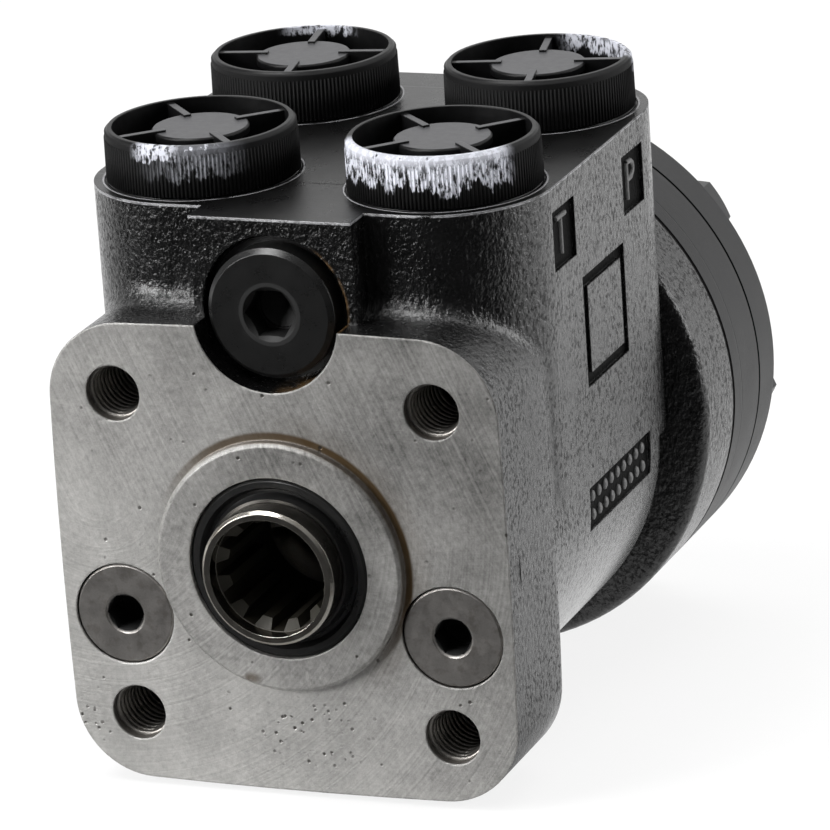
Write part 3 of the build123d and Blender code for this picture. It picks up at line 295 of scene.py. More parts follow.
def soft_box(name, place, size, power):
    """A soft box that is turned to the middle of the unit."""
    lamp = bpy.data.lights.new(name, "AREA")
    lamp.shape = "RECTANGLE"
    lamp.size, lamp.size_y = size
    lamp.energy = power
    holder = link(name, lamp)
    holder.location = place
    holder.rotation_euler = (lit_spot - Vector(place)).to_track_quat("-Z", "Y").to_euler()


lit_spot = Vector((0.0, 0.05, 0.0))
soft_box("soft_box_top", (0.1, 0.45, 1.3), (1.2, 0.8), 9.0)
soft_box("soft_box_front", (-0.35, -0.30, 1.05), (0.45, 0.45), 9.5)
soft_box("soft_box_left", (-1.1, -1.0, 0.55), (0.8, 0.8), 32.0)
soft_box("soft_box_right", (1.3, 0.55, 0.40), (0.7, 0.9), 12.0)


# The cast housing.
# Grey iron, sand cast and painted glossy black all over, then faced, bored and drilled bare: the mounting
# face, collar, bore and tapped holes show ground iron, and the ports and valve seats are cut into the paint.
flange_skin = 0.22 * MM
bore_reach = 18.9 * MM
bolt_offset = 29.17 * MM
bolt_reach = 5.2 * MM
spot_offset = Vector((30.3, -11.0)) * MM
spot_reach = 9.25 * MM
cut_depth = 20 * MM
relief_centre = 44.0 * MM
relief_reach = 13.3 * MM
seal_reach = 12.0 * MM
collar_reach = 22.45 * MM
port_offset = Vector((22.4, 53.65, 23.65)) * MM
port_reach = 10.7 * MM
port_floor = 45 * MM
block_top = 60.0 * MM
casting_rear = 102.9 * MM

cast = Finish("cast_iron_black_paint")
x, y, z = cast.axes()
nx, ny, nz = cast.facing()


def reach(first, second):
    """The distance from an axis, from the offsets across it."""
    return (first * first + second * second) ** 0.5


def patch(centre_x, centre_z, size, soft, flat=1.0):
    """A flattened round patch of the face that fades out past its size, in millimetres."""
    return reach(x - centre_x * MM, (z - centre_z * MM) * flat).below(size * MM, soft * MM)


axis_reach = reach(x, z)
bolt_ring = reach(abs(x) - bolt_offset, abs(z) - bolt_offset)
spot_ring = reach(abs(x) - spot_offset[0], z - spot_offset[1])
relief_ring = reach(x, z - relief_centre)
port_ring = reach(abs(x) - port_offset[0], abs(y - port_offset[1]) - port_offset[2])

ahead = y.below(flange_skin, 0.06 * MM)
bored = axis_reach.below(bore_reach, 0.1 * MM)
tapped = bolt_ring.below(bolt_reach, 0.1 * MM) * y.below(cut_depth, 0.2 * MM)
seated = spot_ring.below(spot_reach, 0.06 * MM) * y.below(cut_depth, 0.2 * MM)
ported = port_ring.below(port_reach, 0.1 * MM) * z.above(port_floor, 0.2 * MM)
rear_cut = y.above(casting_rear, 0.05 * MM) * ny.above(0.9, 0.05)
bare = ahead.either(bored).either(tapped).either(seated).either(ported).either(rear_cut)

# Ground iron: cutter's lines, straight above and curved below, small dark pores, oil stains and painted
# shade.
cutter_angle = math.radians(24)
arc_centre = Vector((-34, 12)) * MM
lines = x * math.cos(cutter_angle) + z * math.sin(cutter_angle)
arcs = reach(x - arc_centre[0], z - arc_centre[1])
cutter_up = cast.streaks(lines, 0.55 * MM, 3.0)
cutter_low = cast.streaks(arcs, 0.45 * MM, 3.0)
cutter = cast.blend(z.above(6 * MM, 14 * MM), cutter_low, cutter_up)
cloud = cast.grain(14 * MM, 4.0, 0.6)
mottle = cast.grain(1.1 * MM, 3.0, 0.7)
fine = cast.grain(0.28 * MM, 2.0, 0.6)
pore_cells = cast.specks(2.6 * MM)
pore_patch = cast.grain(9 * MM, 1.0).above(0.57, 0.06)
pore_spots = patch(3, -31, 10, 4, 1.6).either(patch(-40, -32, 4, 2))
fine_cells = cast.specks(1.25 * MM).below(0.26, 0.10)
fine_pores = fine_cells * cast.grain(1.9 * MM, 2.0).above(0.50, 0.05) * pore_spots
pores = (pore_cells.below(0.13, 0.05) * pore_patch).either(fine_pores) * ahead
ring_gap = axis_reach - collar_reach
oil_line = ring_gap.between(0.0, 1.4 * MM, 0.35 * MM) * (x * 0.75 + z).above(2 * MM, 12 * MM)
# Right of the collar a brown haze is painted: partly an oil stain, partly painted shade, a painted dark
# reflection of the collar wall.
oil_and_collar_shade = ring_gap.between(-0.1 * MM, 4.2 * MM, 2.2 * MM) * (x + z * 0.35).above(9 * MM, 7 * MM)
dab = patch(-6.5, -20.3, 1.6, 1.2, 1.8) * cast.grain(1.4 * MM, 3.0).above(0.42, 0.1)
# Oil marks, with the painted shade beside the collar.
stain = (oil_line * 0.85 + oil_and_collar_shade * 0.4 * cast.grain(5 * MM, 2.0)).either(dab * 0.7)
# The face is painted darker towards the upper right: painted shade where the light falls off.
painted_falloff_shade = (x + z).above(10 * MM, 60 * MM)
iron_tone = 0.46 + (cloud - 0.5) * 0.38 + (mottle - 0.5) * 0.30 + (cutter - 0.5) * 0.16 + (fine - 0.5) * 0.12
iron_tone = iron_tone - painted_falloff_shade * 0.24 - axis_reach.below(collar_reach, 0.2 * MM) * 0.07
iron_stained = cast.mix(stain, cast.shade(iron_tone, (1.0, 0.985, 0.95)), (0.075, 0.048, 0.022))
iron_pored = cast.mix(pores * 0.9, iron_stained, (0.03, 0.026, 0.022))
# Inside the tapped holes and on the walls of the plug seats the iron is darkened: painted shade.
hole_shade = tapped.either(seated * y.above(0.3 * MM, 0.1 * MM)) * y.above(0.35 * MM, 0.3 * MM)
iron_colour = cast.mix(hole_shade * 0.80, iron_pored, (0.06, 0.048, 0.038))

# Paint over sand-cast skin: pitted orange peel on the walls, smoother on the machined top of the block.
skin_vector = cast.stretched((1.0, 1.0, 0.72))
peel = cast.grain(0.80 * MM, 3.0, 0.55, skin_vector)
peel_coarse = cast.grain(2.6 * MM, 2.0, 0.5, skin_vector)
pit_cells = cast.specks(1.05 * MM, skin_vector)
pit_dots = pit_cells.below(0.20, 0.14) * cast.grain(1.8 * MM, 2.0).above(0.50, 0.08)
flat_top = z.above(block_top - 0.2 * MM, 0.1 * MM)
skin = peel * 0.62 + peel_coarse * 0.30 - pit_dots * 0.10 + fine * 0.06
paint_height = cast.blend(flat_top, skin, fine * 0.08 + cloud * 0.15)
iron_height = cutter * 0.035 + fine * 0.04 + mottle * 0.03 - pores * 0.12
height = cast.blend(bare, paint_height, iron_height)

# The pockets of the marks are rough and matt at the bottom, and painted near black as painted shade. A
# painted highlight lightens the paint along the block's top edge, the paint is worn thin on a ring scored
# round each port, and old grease lies under the relief plug.
wall_offset = 40.95 * MM
marks_front, marks_rear, marks_foot = 27 * MM, 77.5 * MM, -5.9 * MM
joint_front = 102.35 * MM
joint_reach = 45.5 * MM
scored_ring = (17.2 * MM, 17.6 * MM)
scored_groove = (16.6 * MM, 17.1 * MM)
# The pocket floors take the near-black shader below: painted shade.
pocket_shade = abs(x).below(wall_offset, 0.1 * MM) * abs(nx).above(0.9, 0.05)
pocket_shade = pocket_shade * y.between(marks_front, marks_rear, 0.2 * MM) * z.above(marks_foot, 0.1 * MM)
broken_line_noise = cast.grain(4.5 * MM, 3.0, 0.6).above(0.40, 0.08)
port_line = port_ring.between(*scored_ring, 0.12 * MM) * flat_top
port_groove = port_ring.between(*scored_groove, 0.12 * MM) * flat_top
# A painted highlight lightens the paint along the block's top edge; the port rings are worn paint.
top_edge_highlight = z.between(block_top - 0.45 * MM, block_top + 0.1 * MM, 0.08 * MM) * (1.0 - nz.above(0.9, 0.05))
rub_and_highlight = (port_line * 0.9).either(top_edge_highlight * 0.8) * broken_line_noise
joint = y.above(joint_front, 0.1 * MM) * axis_reach.above(joint_reach, 0.1 * MM) * (1.0 - rear_cut)
dust = cast.grain(6 * MM, 4.0, 0.65)
paint_tone = 0.001 + dust * 0.002 + rub_and_highlight * 0.26
height = height + port_line * 0.4 - port_groove * 0.5
paint_rough = 0.17 + dust * 0.13 + flat_top * 0.05 + pit_dots * 0.25 * (1.0 - flat_top)
grease = relief_ring.between(seal_reach, relief_reach + 0.2 * MM, 0.3 * MM) * y.below(8.5 * MM, 0.3 * MM)
grease_side = (x - (z - 36 * MM) * 0.3).above(3.5 * MM, 3 * MM)
grease = grease * grease_side * cast.grain(2.5 * MM, 3.0).above(0.42, 0.12)
paint_colour = cast.mix(grease * 0.85, cast.shade(paint_tone, (1.0, 1.0, 1.04)), (0.085, 0.048, 0.018))
rounded = cast.edge_round(0.45 * MM)
low_side = nz.below(-0.12, 0.30) * y.between(18 * MM, 86 * MM, 4 * MM)
skin_shader = cast.shader(
    base_color=cast.mix(bare, paint_colour, iron_colour),
    metallic=bare * 0.75,
    roughness=cast.blend(bare, paint_rough, 0.40 + mottle * 0.16 + hole_shade * 0.08),
    ior=1.5,
    coat_weight=(1.0 - bare) * (1.0 - flat_top) * (low_side * 0.72 + 0.25),
    coat_roughness=0.22,
    normal=cast.relief(height, 0.62 * MM, rounded),
)
# A near-black matt shader: painted shade in the pockets and in the skin's hollows, and the dark joint at the
# rear.
shade_and_joint_shader = cast.shader(
    base_color=(0.003, 0.003, 0.003),
    roughness=0.85,
    specular_ior_level=0.05,
    normal=cast.relief(peel, 0.5 * MM),
)
# The hollows and pits of the painted skin get the near-black shader: painted shade.
hollows = cast.grain(0.75 * MM, 3.0, 0.6, skin_vector).below(0.44, 0.06) * 0.62
hollow_shade = hollows.either(pit_dots * 0.85) * (1.0 - bare) * (1.0 - flat_top)
hollow_shade = hollow_shade * cast.grain(9 * MM, 2.0).above(0.35, 0.25) * (1.0 - nz.below(-0.2, 0.25) * 0.7)
shade_and_joint_share = (pocket_shade * 0.96).either(joint).either(hollow_shade)
cast_shader = cast.add("ShaderNodeMixShader", None, {0: shade_and_joint_share, 1: skin_shader, 2: shade_and_joint_shader})
cast_finish = cast.ends(cast_shader)
nodes = frame["nodes"]


def dress(finish, *names):
    """Puts one finish on all the faces of these nodes."""
    for name in names:
        for slot in nodes[name].material_slots:
            slot.material = finish


dress(cast_finish, "housing")


# The port letters.
# A letter for its port stands up from the bottom of each small pocket in the casting's sides: T and P on the
# right, L and R on the left. They are cast with it, and the paint is rubbed thin on them.
raised = Finish("raised_marks")
raised_grain = raised.grain(0.8 * MM, 3.0, 0.6)
letter_finish = raised.done(
    base_color=raised.shade(0.03 + raised_grain * 0.08),
    roughness=0.30 + raised_grain * 0.2,
    normal=raised.relief(raised_grain, 0.15 * MM),
)
front_pocket = (35.1, 50.3)
rear_pocket = (70.4, 49.8)
pocket_floor = 40.72
stroke_reach = 0.52


def cast_letter(name, side, centre, strokes):
    """Rounded strokes on the bottom of a pocket, drawn as seen from outside: right, up, in millimetres."""
    pen = bpy.data.curves.new(name, "CURVE")
    pen.dimensions = "3D"
    pen.bevel_depth = stroke_reach * MM
    pen.bevel_resolution = 2
    pen.use_fill_caps = True
    for stroke in strokes:
        line = pen.splines.new("POLY")
        line.points.add(len(stroke) - 1)
        for point, (along, high) in zip(line.points, stroke):
            spot = Vector((side * pocket_floor, centre[0] + side * along, centre[1] + high)) * MM
            point.co = (*spot, 1.0)
    drawn = link(name + "_pen", pen)
    mesh = bpy.data.meshes.new_from_object(drawn.evaluated_get(bpy.context.evaluated_depsgraph_get()))
    bpy.data.objects.remove(drawn)
    for polygon in mesh.polygons:
        polygon.use_smooth = True
    mesh.materials.append(letter_finish)
    letter = link(name, mesh)
    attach(letter, "housing_body")


bowl = [(-0.6, 0.1), (0.8, 0.2), (1.7, 0.9), (1.9, 1.7), (1.7, 2.5), (0.8, 3.1), (-0.6, 3.2)]
letter_t = [[(-2.3, 3.2), (2.3, 3.2)], [(0.0, 3.2), (0.0, -3.4)]]
letter_p = [[(-1.4, 3.2), (-1.4, -3.4)], [(-1.4, 3.2), *bowl[::-1], (-1.4, 0.1)]]
letter_l = [[(-1.4, 3.2), (-1.4, -3.3), (1.9, -3.3)]]
letter_r = [*letter_p, [(0.2, 0.1), (1.9, -3.4)]]
cast_letter("letter_t", 1, front_pocket, letter_t)
cast_letter("letter_p", 1, rear_pocket, letter_p)
cast_letter("letter_l", -1, front_pocket, letter_l)
cast_letter("letter_r", -1, rear_pocket, letter_r)


# The tapped threads.
# M10 threads in the four mounting holes and G 1/2 threads in the four ports, cut into the iron as one ridge
# each that winds down the wall. The cut iron is bare and bright.
class Recipe(Graph):
    """A geometry tree with named sizes, from which plain meshes of one finish are made."""

    def __init__(self, name, **sizes):
        super().__init__(bpy.data.node_groups.new(name, "GeometryNodeTree"))
        face = self.tree.interface
        for label, value in sizes.items():
            kind = "NodeSocketInt" if isinstance(value, int) else "NodeSocketFloat"
            face.new_socket(label, in_out="INPUT", socket_type=kind)
        face.new_socket("Finish", in_out="INPUT", socket_type="NodeSocketMaterial")
        face.new_socket("Geometry", in_out="OUTPUT", socket_type="NodeSocketGeometry")
        self.sizes = sizes
        self.given = self.add("NodeGroupInput")

    def size(self, label):
        return self.given.out(label)

    def grid(self, size_x, size_y, count_x, count_y):
        """Points in even rows."""
        net = self.add("GeometryNodeMeshGrid", None, {
            "Size X": size_x, "Size Y": size_y, "Vertices X": count_x, "Vertices Y": count_y,
        })
        return self.add("GeometryNodeMeshToPoints", None, {"Mesh": net})

    def spot(self, along_x, along_y, along_z):
        return self.add("ShaderNodeCombineXYZ", None, {"X": along_x, "Y": along_y, "Z": along_z})

    def placed(self, shape, **change):
        """A shape that is moved, turned or scaled."""
        sockets = {name.title(): value for name, value in change.items()}
        return self.add("GeometryNodeTransform", None, {"Geometry": shape, **sockets})

    def many(self, points, shape):
        """One copy of a shape on each point, joined as plain faces."""
        copies = self.add("GeometryNodeInstanceOnPoints", None, {"Points": points, "Instance": shape})
        return self.add("GeometryNodeRealizeInstances", None, {"Geometry": copies})

    def ends(self, shape):
        solid = self.add("GeometryNodeRealizeInstances", None, {"Geometry": shape})
        coat = {"Geometry": solid, "Material": self.size("Finish")}
        self.add("NodeGroupOutput", None, {"Geometry": self.add("GeometryNodeSetMaterial", None, coat)})

    def make(self, name, finish, body, **changed):
        """One piece of this recipe as a plain mesh that rides on this body."""
        carrier = link(name + "_carrier", bpy.data.meshes.new(name + "_carrier"))
        modifier = carrier.modifiers.new("recipe", "NODES")
        modifier.node_group = self.tree
        values = {**self.sizes, **changed, "Finish": finish}
        for socket in self.tree.interface.items_tree:
            if socket.in_out == "INPUT":
                modifier[socket.identifier] = values[socket.name]
        graph = bpy.context.evaluated_depsgraph_get()
        mesh = bpy.data.meshes.new_from_object(carrier.evaluated_get(graph))
        carrier.modifiers.remove(modifier)
        bpy.data.objects.remove(carrier)
        mesh.name = name
        for polygon in mesh.polygons:
            polygon.use_smooth = True
        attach(link(name, mesh), body)


cut = Finish("cut_thread")
cut_finish = cut.done(
    base_color=cut.shade(0.16 + cut.grain(1.2 * MM, 3.0, 0.7) * 0.16, (1.0, 0.95, 0.88)),
    metallic=0.9,
    roughness=0.30 + cut.grain(0.5 * MM) * 0.2,
    normal=cut.relief(cut.grain(0.3 * MM, 3.0), 0.05 * MM),
)
ridge_width = 0.86
ridge_height = 0.43


def thread(name, pitch, radius, depth, spacing_x, spacing_y, shift, turn):
    """Four equal threads at the corners of a rectangle. A ridge's size is a share of the pitch."""
    recipe = Recipe(name, pitch=pitch, radius=radius, turns=depth / pitch, across=spacing_x, along=spacing_y)
    winding = recipe.add("GeometryNodeCurveSpiral", None, {
        "Resolution": 28,
        "Rotations": recipe.size("turns"),
        "Start Radius": recipe.size("radius"),
        "End Radius": recipe.size("radius"),
        "Height": recipe.size("pitch") * recipe.size("turns"),
    })
    standing = recipe.add("GeometryNodeSetCurveNormal", {"mode": "Z_UP"}, {"Curve": winding})
    ridge = recipe.add("GeometryNodeCurvePrimitiveQuadrilateral", {"mode": "KITE"}, {
        "Width": recipe.size("pitch") * ridge_width,
        "Bottom Height": recipe.size("pitch") * ridge_height,
        "Top Height": recipe.size("pitch") * ridge_height,
    })
    wire = recipe.add("GeometryNodeCurveToMesh", None, {
        "Curve": standing, "Profile Curve": ridge, "Fill Caps": True,
    })
    holes = recipe.grid(recipe.size("across"), recipe.size("along"), 2, 2)
    recipe.ends(recipe.placed(recipe.many(holes, wire), translation=shift, rotation=turn))
    recipe.make(name, cut_finish, "housing_body")


bolt_thread_front = 1.3 * MM
port_thread_foot = block_top - 14.6 * MM
thread(
    "bolt_threads", pitch=1.5 * MM, radius=4.95 * MM, depth=15.5 * MM,
    spacing_x=2 * bolt_offset, spacing_y=2 * bolt_offset,
    shift=(0.0, bolt_thread_front, 0.0), turn=(-math.pi / 2, 0.0, 0.0),
)
thread(
    "port_threads", pitch=1.814 * MM, radius=10.42 * MM, depth=13.0 * MM,
    spacing_x=2 * port_offset[0], spacing_y=2 * port_offset[2],
    shift=(0.0, port_offset[1], port_thread_foot), turn=(0.0, 0.0, 0.0),
)


# The pips of the plate frame.
# Two rows of plain flat pips are cast in the frame on each side of the block.
frame_centre = Vector((40.75, 56.0, -1.4)) * MM
pips = Recipe("plate_pips", side=1.0, long=26.0 * MM, high=3.4 * MM, radius=0.95 * MM)
pip = pips.add("GeometryNodeMeshUVSphere", None, {"Segments": 8, "Rings": 6, "Radius": pips.size("radius")})
pip_points = pips.grid(pips.size("high"), pips.size("long"), 2, 9)
pip_rows = pips.many(pip_points, pips.placed(pip, scale=(1.2, 0.9, 0.55)))
pip_place = pips.spot(pips.size("side") * frame_centre[0], frame_centre[1], frame_centre[2])
pips.ends(pips.placed(pip_rows, translation=pip_place, rotation=(0.0, math.pi / 2, 0.0)))
pips.make("plate_pips_right", letter_finish, "housing_body", side=1.0)
pips.make("plate_pips_left", letter_finish, "housing_body", side=-1.0)


# The drum behind the casting.
# Distribution plate, gear ring and end cover are turned steel discs of the drum's width. Their rims and the
# cover are painted satin black over fine turning marks, and thin joints between them stay dark.
disc_reach = 46.2 * MM
cover_front = 117.9 * MM
first_joint_rear = 103.55 * MM
second_joint = (117.55 * MM, 118.3 * MM)

band = Finish("satin_black_disc")
x, y, z = band.axes()
turned_lines = band.streaks(y, 0.16 * MM, 2.0)
haze = band.grain(9 * MM, 3.0, 0.6)
speck = band.grain(0.5 * MM, 2.0)
drum_ring = reach(x, z)
inside = drum_ring.below(disc_reach, 0.3 * MM) * y.below(cover_front, 0.05 * MM)
dark_joint = y.below(first_joint_rear, 0.1 * MM).either(y.between(*second_joint, 0.1 * MM))
dark_joint = dark_joint * drum_ring.above(disc_reach + 0.1 * MM, 0.1 * MM)
band_colour = band.shade(0.006 + haze * 0.007, (1.0, 1.0, 1.05))
disc_colour = band.shade(0.42 + (speck - 0.5) * 0.12 + (haze - 0.5) * 0.1, (1.0, 1.0, 0.97))
band_height = turned_lines * 0.25 + speck * 0.15 + haze * 0.2
band_shader = band.shader(
    base_color=band.mix(inside, band_colour, disc_colour),
    metallic=inside,
    roughness=band.blend(inside, 0.36 + haze * 0.14, 0.3 + speck * 0.15),
    specular_ior_level=0.28,
    normal=band.relief(band_height, 0.10 * MM, band.edge_round(0.45 * MM)),
)
joint_shader = band.add("ShaderNodeBsdfDiffuse", None, {"Color": (0.002, 0.002, 0.002)})
drum_shader = band.add("ShaderNodeMixShader", None, {0: dark_joint, 1: band_shader, 2: joint_shader})
band_finish = band.ends(drum_shader)
dress(band_finish, "distribution_plate", "gear_ring", "end_cover")


# Plugs.
# Two flush plugs of phosphated steel close the shock valves and a large blackened plug closes the relief
# valve. All three are turned, with a sunk hexagon.
def turned_metal(name, tint, spread, roughness, stain=None, metallic=1.0, dark=None):
    """Turned or ground metal with fine rings and grit, and stains or a dark part where they are given."""
    metal = Finish(name)
    x, y, z = metal.axes()
    clouds = metal.grain(3.5 * MM, 4.0, 0.6)
    fine = metal.grain(0.3 * MM, 3.0, 0.65)
    rings = metal.streaks(y, 0.12 * MM, 2.0)
    tone = 1.0 + (clouds - 0.5) * spread + (fine - 0.5) * spread * 0.8
    colour = metal.shade(tone, tint)
    if stain:
        patches = metal.grain(2.2 * MM, 3.0, 0.6).above(0.58, 0.1)
        colour = metal.mix(patches * 0.3, colour, stain)
    matt = 0.0
    shine = metallic
    if dark:
        where, dark_tint, matt_share = dark(x, y, z)
        colour = metal.mix(where, colour, dark_tint)
        matt = where * matt_share
        shine = metallic - where * 0.6
    height = rings * 0.2 + fine * 0.3 + clouds * 0.1
    return metal.done(
        base_color=colour,
        metallic=shine,
        roughness=roughness + (clouds - 0.5) * 0.15 + (fine - 0.5) * 0.1 + matt,
        normal=metal.relief(height, 0.05 * MM, metal.edge_round(0.18 * MM)),
    )


flush_hexagon = 3.9 * MM
relief_hexagon = 5.6 * MM


def sunk_hexagon(x, y, z):
    """The hexagon sockets of the flush plugs, darkened as painted shade."""
    hexagon = reach(abs(x) - spot_offset[0], z - spot_offset[1]).below(flush_hexagon, 0.1 * MM)
    return hexagon * y.above(0.35 * MM, 0.2 * MM), (0.002, 0.002, 0.002), 0.45


plug_finish = turned_metal(
    "phosphated_plug", (0.34, 0.325, 0.31), 0.35, 0.40, (0.12, 0.10, 0.08), dark=sunk_hexagon,
)
dress(plug_finish, "shock_plug_left", "shock_plug_right", "relief_adjuster", "check_bushing")


def deep_hexagon(x, y, z):
    """The hexagon socket of the relief plug, darkened as painted shade."""
    return reach(x, z - relief_centre).below(relief_hexagon, 0.1 * MM), (0.001, 0.001, 0.001), 0.3


blackened = turned_metal(
    "blackened_plug", (0.005, 0.005, 0.005), 0.5, 0.30, metallic=0.1, dark=deep_hexagon,
)
dress(blackened, "relief_plug")


# The spool and its ground neighbours.
# The steering column's splines enter the bright ground neck of the spool. The sleeve, races, pin and gears
# behind it are ground or honed steel as well.
spline_reach = 10.75 * MM
spline_front = -4.3 * MM


def shaded_spline(x, y, z):
    """The splined hole, darkened as painted shade."""
    hole = reach(x, z).below(spline_reach, 0.1 * MM) * y.above(spline_front, 0.2 * MM)
    return hole, (0.020, 0.018, 0.013), 0.25


spool_finish = turned_metal(
    "ground_spool", (0.58, 0.55, 0.50), 0.16, 0.20, (0.34, 0.29, 0.22), dark=shaded_spline,
)
dress(spool_finish, "spool")
ground_finish = turned_metal("ground_steel", (0.60, 0.575, 0.53), 0.16, 0.20, (0.34, 0.29, 0.22))
dress(ground_finish, "sleeve", "bearing_outer_race", "bearing_needle_cage", "bearing_inner_race")
gear_finish = turned_metal("hardened_steel", (0.46, 0.45, 0.43), 0.25, 0.28, (0.30, 0.26, 0.20))
dress(gear_finish, "cross_pin", "cardan_shaft", "cardan_spacer", "gear_wheel", "relief_poppet", "relief_seat")
dress(gear_finish, "shock_ball_left", "shock_ball_right", "suction_ball_left", "suction_ball_right")
dress(gear_finish, "check_ball")
spring_finish = turned_metal("spring_steel", (0.30, 0.30, 0.31), 0.3, 0.32, (0.16, 0.12, 0.08))
dress(spring_finish, "spring_ring", "centring_springs", "relief_spring", "suction_pins")
dress(spring_finish, "shock_spring_left", "shock_spring_right")


# The valve springs.
# The springs of the relief cone and of the two shock balls rest on the housing at their far ends. Each is
# copied onto the housing in place of its node.
def giving(node, joint_name):
    """A copy of the coil that rides on the housing in place of the node; the joint's travel is not applied.
    """
    low, high = (Vector(corner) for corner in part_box(node))
    joint = next(j for j in frame["record"]["behaviour"]["joints"] if j["name"] == joint_name)
    line = Vector(joint["axis"])
    travel = max(abs(limit) for limit in joint["range_m"])
    length = abs((high - low).dot(line))
    coil = link(node + "_coil", nodes[node].data.copy())
    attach(coil, "housing_body")
    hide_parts(node)
    1.0 - travel / length
    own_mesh(coil)


giving("relief_spring", "relief_lift")
giving("shock_spring_left", "shock_lift_left")
giving("shock_spring_right", "shock_lift_right")


# Screws and washers.
# Zinc-plated hexagon screws hold the stack from behind, on soft aluminium sealing washers. Their heads were
# painted black with the cover.
cover_rear = 127.2 * MM


def painted_heads(x, y, z):
    """What stands proud of the end cover was painted with it."""
    return y.above(cover_rear, 0.05 * MM), (0.014, 0.014, 0.015), 0.08


zinc_finish = turned_metal(
    "zinc_plate", (0.56, 0.565, 0.55), 0.22, 0.30, (0.42, 0.41, 0.34), metallic=0.9, dark=painted_heads,
)
dress(zinc_finish, "cover_screws", "pin_screw")
washer_finish = turned_metal(
    "soft_aluminium", (0.70, 0.70, 0.69), 0.18, 0.38, (0.5, 0.49, 0.46), metallic=0.9, dark=painted_heads,
)
dress(washer_finish, "cover_washers")
dress(blackened, "relief_seal")


# Seals.
# The black nitrile dust seal fills the collar's seat round the spool, and shines with oil. The O-rings are of
# the same rubber, and the sealing ring behind the dust seal is filled plastic.
rubber = Finish("oiled_rubber")
rubber_grain = rubber.grain(0.7 * MM, 3.0, 0.6)
oil_patch = rubber.grain(5 * MM, 2.0)
rubber_finish = rubber.done(
    base_color=rubber.shade(0.004 + rubber_grain * 0.005),
    roughness=0.16 + oil_patch * 0.22 + rubber_grain * 0.08,
    normal=rubber.relief(rubber_grain, 0.03 * MM),
)
dress(rubber_finish, "dust_seal", "shaft_o_ring", "stack_o_rings", "shock_seals")

seal_tint = Finish("seal_plastic")
seal_cloud = seal_tint.grain(1.5 * MM, 3.0)
seal_finish = seal_tint.done(
    base_color=seal_tint.mix(seal_cloud, (0.06, 0.11, 0.09), (0.10, 0.17, 0.14)),
    roughness=0.35 + seal_cloud * 0.15,
    normal=seal_tint.relief(seal_tint.grain(0.3 * MM), 0.02 * MM),
)
dress(seal_finish, "shaft_seal")


# The transit caps.
# Four moulded black plugs are pressed into the ports. A fine knurl runs round each skirt, the rim is smooth,
# and four thin spokes carry a disc. White marking paint was brushed over the rims.
cap_places = {
    "l": Vector((-22.4, 30.0)) * MM,
    "t": Vector((22.4, 30.0)) * MM,
    "r": Vector((-22.4, 77.3)) * MM,
    "p": Vector((22.4, 77.3)) * MM,
}
cap_reach = 16.65 * MM
rim_reach = 14.9 * MM
crown_reach = 14.6 * MM
cap_base = 60.3 * MM
cap_top = 69.3 * MM

plastic = Finish("moulded_cap")
x, y, z = plastic.axes()
moulded = plastic.grain(1.6 * MM, 3.0, 0.6)
scuffs = plastic.grain(0.35 * MM, 2.0)


def brushed(cap, first, last, low, drip):
    """White paint on one cap between two angles in degrees, down to a ragged edge."""
    dx, dy = x - cap_places[cap][0], y - cap_places[cap][1]
    bearing = dy.math("ARCTAN2", dx)
    middle, half = math.radians((first + last) / 2), math.radians((last - first) / 2)
    swing = (bearing - middle).math("WRAP", -math.pi, math.pi)
    ragged = plastic.grain(3.0 * MM, 3.0, 0.6, plastic.stretched((1.0, 1.0, 0.18)))
    fine_edge = plastic.grain(0.9 * MM, 2.0, 0.6, plastic.stretched((1.0, 1.0, 0.25)))
    here = abs(swing).below(half, 0.12)
    ring = reach(dx, dy)
    outer = ring.above(rim_reach, 0.5 * MM)
    edge = z - low - (0.5 - ragged) * drip - (0.5 - fine_edge) * drip * 0.5
    worn = plastic.grain(0.8 * MM, 3.0, 0.7, plastic.stretched((1.0, 1.0, 0.40))).above(0.47, 0.09)
    worn = worn.either((z - low).above(4.2 * MM, 1.2 * MM) * 0.75)
    return edge.above(0.0, 0.2 * MM) * here * outer * (ragged + fine_edge).above(0.70, 0.10) * worn


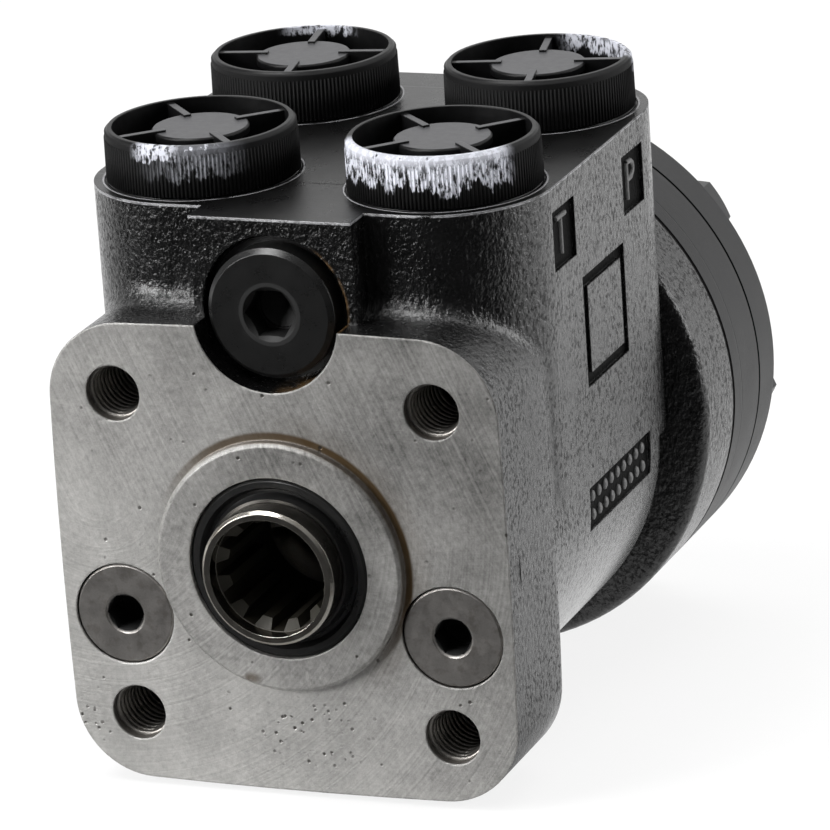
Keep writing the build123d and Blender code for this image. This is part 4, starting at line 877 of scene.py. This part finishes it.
white = brushed("l", -82, -58, 68.6 * MM, 3.0 * MM) * plastic.grain(1.3 * MM, 2.0).above(0.60, 0.04)
for cap, first, last, low, drip in (
    ("t", -156, -28, 63.4, 8.0),
    ("l", -108, -82, 66.6, 3.5),
    ("r", 78, 124, 67.6, 3.5),
    ("p", 14, 92, 66.5, 5.0),
):
    white = white.either(brushed(cap, first, last, low * MM, drip * MM))
cap_rings = [reach(x - place[0], y - place[1]) for place in cap_places.values()]
nearest = cap_rings[0]
for ring in cap_rings[1:]:
    nearest = nearest.math("MINIMUM", ring)
ribbed = nearest.above(cap_reach - 0.25 * MM, 0.1 * MM)
# The upward-facing top of each cap's disc is painted lighter: a painted reflection of the bright room above.
crown_reflection = nearest.below(crown_reach, 0.2 * MM) * z.above(65 * MM, 0.3 * MM)
crown_reflection = crown_reflection * plastic.facing()[2].above(0.8, 0.1)
cap_black = plastic.shade(0.0025 + moulded * 0.003 + crown_reflection * (0.038 + scuffs * 0.020), (1.0, 1.0, 1.05))
cap_height = moulded * 0.25 + scuffs * 0.15 + white * 0.4
cap_finish = plastic.done(
    base_color=plastic.mix(white, cap_black, (0.48, 0.49, 0.54)),
    roughness=plastic.blend(white, 0.28 + moulded * 0.16 + ribbed * 0.32, 0.6),
    specular_ior_level=0.16,
    normal=plastic.relief(cap_height, 0.09 * MM, plastic.edge_round(0.35 * MM)),
)
dress(cap_finish, *("port_cap_" + name for name in cap_places))

rib_top = cap_top - 1.6 * MM
knurl = Recipe("knurl", ribs=150, reach=cap_reach, low=cap_base, high=rib_top, across=0.0, along=0.0)
rib = knurl.add("GeometryNodeMeshCone", None, {
    "Vertices": 6,
    "Radius Top": 0.16 * MM,
    "Radius Bottom": 0.28 * MM,
    "Depth": knurl.size("high") - knurl.size("low"),
})
skirt = knurl.add("GeometryNodeMeshCircle", None, {
    "Vertices": knurl.size("ribs"), "Radius": knurl.size("reach"),
})
knurl_place = knurl.spot(knurl.size("across"), knurl.size("along"), knurl.size("low"))
knurl.ends(knurl.placed(knurl.many(skirt, rib), translation=knurl_place))
for name, place in cap_places.items():
    knurl.make("cap_knurl_" + name, cap_finish, "cap_" + name, across=place[0], along=place[1])
